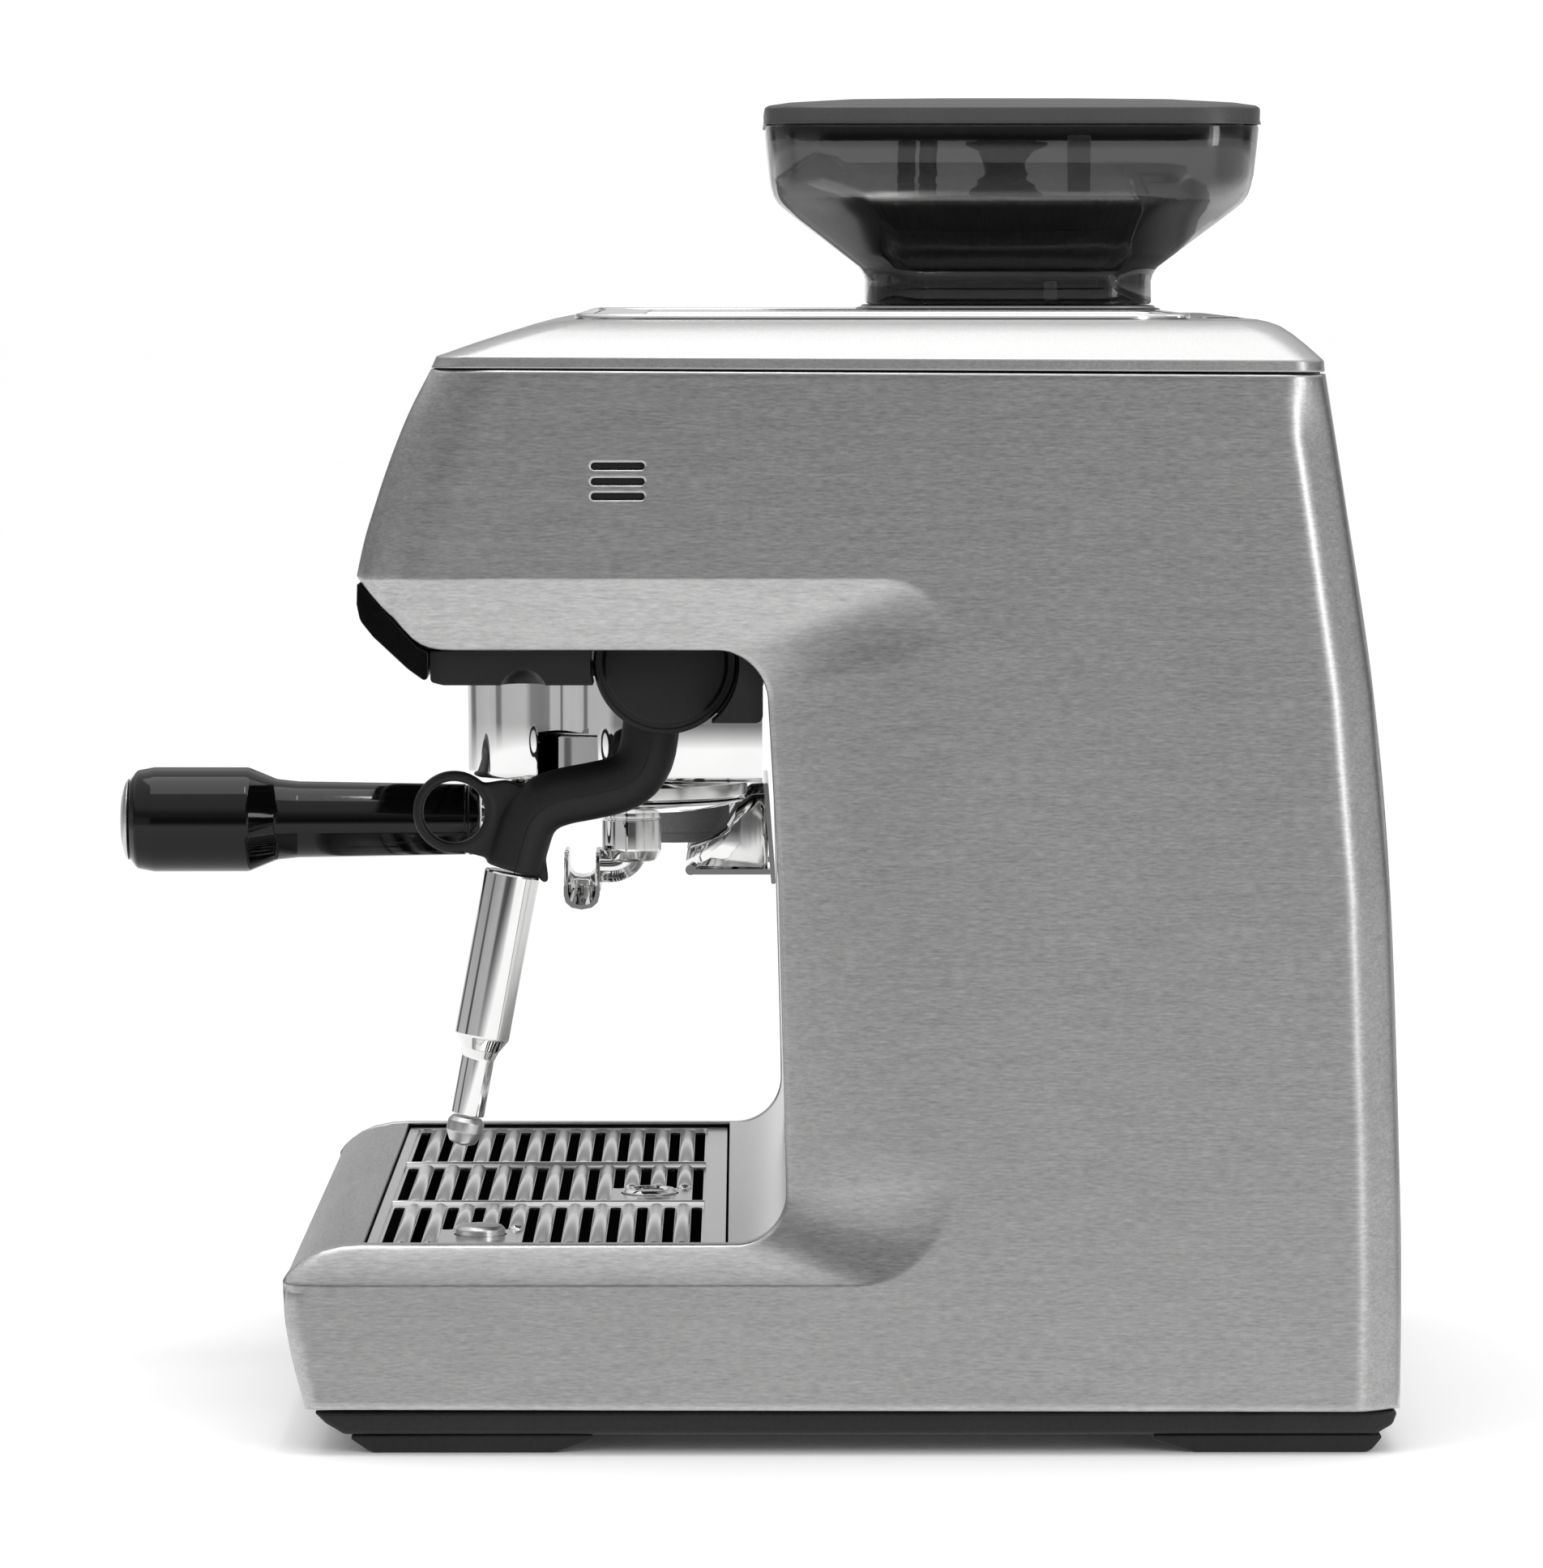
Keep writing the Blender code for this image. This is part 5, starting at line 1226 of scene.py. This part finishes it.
def bar(x0, x1, y, low, high, half):
    """A half-round bar lying along X with rounded ends."""
    rings = []
    for x, grow in ((x0, 0.12), (x0 + 0.5, 0.55), (x0 + 1.3, 0.85), (x0 + 2.6, 1),
                    (x1 - 2.6, 1), (x1 - 1.3, 0.85), (x1 - 0.5, 0.55), (x1, 0.12)):
        ring = []
        for i in range(9):
            a = pi * i / 8
            ring.append((x, y + half * grow * cos(a),
                         low + (high - low) * grow * sin(a)))
        rings.append(ring + [(x, y - half * grow, low - 0.4), (x, y + half * grow, low - 0.4)])
    return rings


def append_skin(verts, faces, rings):
    """Adds one capped skin to the lists of a joint mesh."""
    start = len(verts)
    size = len(rings[0])
    verts += [p for ring in rings for p in ring]
    for k in range(len(rings) - 1):
        for i in range(size):
            a = start + k * size + i
            b = start + k * size + (i + 1) % size
            faces.append((a, b, b + size, a + size))
    faces.append(tuple(range(start, start + size)))
    faces.append(tuple(range(start + (len(rings) - 1) * size, start + len(rings) * size)))


def grille():
    holes = []
    verts, faces = [], []
    spans = [(-171, -63), (-53, 55), (65, 173)]
    for row, (x0, x1) in enumerate(spans):
        for k in range(12):
            y = -152.5 + k * 9.4
            a, b = x0, x1
            if row == 1 and abs(y - FLOAT[1]) < 13:
                b = FLOAT[0] - 13
            if row == 2 and abs(y - SENSOR[1]) < 12:
                b = SENSOR[0] - 12
            holes.append(rect(a, b, y - 1.9, y + 1.9, 1.88, 4))
            mid = y + 4.7
            if k == 11:
                continue
            if row == 1 and abs(mid - FLOAT[1]) < 14:
                b = FLOAT[0] - 13
            if row == 2 and abs(mid - SENSOR[1]) < 13:
                b = SENSOR[0] - 12
            append_skin(verts, faces, bar(a - 1, b + 1, mid, 67.3, 69.1, 2.7))
    holes += [circle(*FLOAT, 10.2, 40), circle(*SENSOR, 9, 40)]
    plate = prism("shell_drip_grille", "z", rect(-182, 182, -159, -38.9, 3), 66.5, 67.5,
                  holes)
    dress(plate, sheet_bright, "grille", "drip_grille", bevel=0.15, limit=50)
    bars = solid("grille_bars", verts, faces)
    dress(bars, sheet_bright, "grille", angle=50)
    border = prism("grille_border", "z", rect(-182, 182, -159, -38.9, 3), 67.5, 68.4,
                   [rect(-176.5, 178, -155.6, -46.2, 2)])
    dress(border, sheet_bright, "grille", bevel=0.35, limit=50)
    for n, x in enumerate((-58, 60)):
        ridge = prism(f"grille_ridge_{n}", "y",
                      rounded([(x - 1.6, 67.4), (x + 1.6, 67.4), (x + 0.9, 69.4, 0.8),
                               (x - 0.9, 69.4, 0.8)]), -155.4, -46.4)
        dress(ridge, sheet_bright, "grille", bevel=0.2)


def tray():
    face = [(-178.6, 15.6), (-182, 28), (-184.4, 40), (-185.6, 50), (-185.9, 57),
            (-184.6, 60.4), (-181.3, 63.6), (-177.6, 66), (-172.7, 68), (-166, 69.2),
            (-160, 69.6)]
    line = curve(face, 2.5)[::-1]
    sheet = prism("shell_tray_front", "x", line + beside(line, SHEET)[::-1], -INNER, INNER)
    dress(sheet, steel_flat, "tray", "drip_tray_front", angle=30)
    grille()
    buoy = [(0, 24), (8, 24, 1), (8, 46, 1), (3, 47, 1), (3, 64),
                    (9.6, 65.5, 0.5), (9.6, 68, 0.8), (8.6, 69.2, 0.6), (7.4, 69.2, 0.4),
            (6.6, 68.5, 0.4), (0, 68.3)]
    dress(turned("shell_tray_float", "z", FLOAT, buoy, 64), chrome, "float",
          "tray_float", angle=40)
    sensor = [(0, 58), (5, 58), (5, 64), (8.4, 64.4, 0.3), (8.4, 69.4, 0.8),
              (7.2, 70.6, 0.8), (4, 71.1, 3), (0, 71.1)]
    dress(turned("shell_milk_sensor", "z", SENSOR, sensor, 64), steel_turned,
          "milk_sensor", "milk_temp_sensor", angle=40)


# ---------------------------------------------------------------- stage
def area(name, spot, aim, size, size_y, power):
    data = bpy.data.lights.new(name, "AREA")
    data.shape = "RECTANGLE"
    data.size = size
    data.size_y = size_y
    data.energy = power
    lamp = bpy.data.objects.new(name, data)
    lamp.location = spot
    lamp.rotation_euler = (Vector(aim) - Vector(spot)).to_track_quat("-Z", "Y").to_euler()
    bpy.context.scene.collection.objects.link(lamp)


def world():
    """An even white fill; reflections see a studio with dark flags and one bright strip."""
    scene = bpy.context.scene
    scene.view_settings.view_transform = "Standard"
    scene.world = scene.world or bpy.data.worlds.new("studio")
    scene.world.use_nodes = True
    tree = scene.world.node_tree
    tree.nodes.clear()
    n = Nodes.__new__(Nodes)
    n.tree = tree
    out = n.add("ShaderNodeOutputWorld")
    path = n.add("ShaderNodeLightPath")
    axes = n.add("ShaderNodeSeparateXYZ")
    n.link(n.add("ShaderNodeTexCoord").outputs["Generated"], axes.inputs["Vector"])
    turn = n.math("ARCTAN2", axes.outputs["Y"], axes.outputs["X"])
    around = ramp(n, n.span(turn, -pi, pi), AROUND)
    height = ramp(n, n.span(axes.outputs["Z"], -1, 1), HEIGHT)
    level = n.math("ABSOLUTE", axes.outputs["Z"], 0)
    mix = n.add("ShaderNodeMix", data_type="RGBA")
    n.link(n.span(level, 0.045, 0.2), mix.inputs["Factor"])
    n.link(around, mix.inputs["A"])
    n.link(height, mix.inputs["B"])
    reflect = n.add("ShaderNodeBackground")
    fill = n.add("ShaderNodeBackground")
    fill.inputs["Color"].default_value = (1, 1, 1, 1)
    fill.inputs["Strength"].default_value = 1.12
    either = n.add("ShaderNodeMixShader")
    n.link(mix.outputs["Result"], reflect.inputs["Color"])
    n.link(path.outputs["Is Glossy Ray"], either.inputs["Fac"])
    n.link(fill.outputs["Background"], either.inputs[1])
    n.link(reflect.outputs["Background"], either.inputs[2])
    n.link(either.outputs["Shader"], out.inputs["Surface"])


AROUND = tuple(((turn + 180) / 360, tone) for turn, tone in (
    (-180, 0.85), (-152, 0.75), (-138, 0.12), (-128, 0.12), (-122, 0.50), (-92, 0.56),
    (-78, 0.50), (-75, 0.08), (-68, 0.08), (-64, 0.50), (-26, 0.52), (-17, 0.12), (-4, 0.08),
    (14, 0.10), (22, 0.30), (26, 1.5), (40, 1.5), (46, 0.60), (62, 0.52), (94, 0.46),
    (101, 0.06), (120, 0.06), (128, 0.60), (145, 0.75), (180, 0.85)))
HEIGHT = tuple(((z + 1) / 2, tone) for z, tone in (
    (-1, 1), (-0.4, 1.2), (-0.2, 1.25), (-0.07, 0.72), (0, 0.2), (0.1, 0.22),
    (0.28, 0.3), (0.5, 0.85), (1, 1.05)))


def ramp(n, value, stops):
    """Grey tones laid out along a value from 0 to 1."""
    node = n.add("ShaderNodeValToRGB")
    band = node.color_ramp
    for where, _ in stops[1:-1]:
        band.elements.new(where)
    for element, (where, tone) in zip(band.elements, stops):
        element.position = where
        element.color = (tone, tone, tone, 1)
    n.link(value, node.inputs["Fac"])
    return node.outputs["Color"]


def floor():
    n = Nodes("stage_floor")
    tone = n.noise(n.coords(), 3, 2)
    n.link(n.blend(tone, (0.93, 0.93, 0.93), (0.95, 0.95, 0.95)), n.bsdf.inputs["Base Color"])
    n.set(Roughness=0.6, Specular_IOR_Level=0.3)
    mesh = bpy.data.meshes.new("floor")
    reach = 40
    corners = [(-reach, -reach, 0), (reach, -reach, 0), (reach, reach, 0), (-reach, reach, 0)]
    mesh.from_pydata(corners, [], [(0, 1, 2, 3)])
    mesh.materials.append(n.mat)
    plane = bpy.data.objects.new("floor", mesh)
    bpy.context.scene.collection.objects.link(plane)
    plane.visible_glossy = False


def camera():
    data = bpy.data.cameras.new("camera")
    data.lens = 181.4
    data.sensor_width = 36
    data.clip_end = 100
    cam = bpy.data.objects.new("camera", data)
    cam.location = (2.802, 0, 0.3975)
    pitch = radians(-3.808)
    yaw = radians(0.212)
    aim = Vector((-cos(pitch) * cos(yaw), cos(pitch) * sin(yaw),
                  sin(pitch)))
    cam.rotation_euler = aim.to_track_quat("-Z", "Y").to_euler()
    bpy.context.scene.collection.objects.link(cam)
    bpy.context.scene.camera = cam


for make in (side_panels, base, rear, tank, top, hopper, head, group, steam, cradle, tray, world,
             floor, camera):
    make()
area("overhead", (0.1, 0, 1.9), (0, 0, 0.3), 1.6, 1.6, 15)
area("rear_strip", (1.9, 1.5, 0.8), (0, 0.1, 0.25), 0.35, 1.5, 10)
area("glint", (0.35, -0.1, 1.25), (0, -0.15, 0.2), 0.06, 0.3, 1)
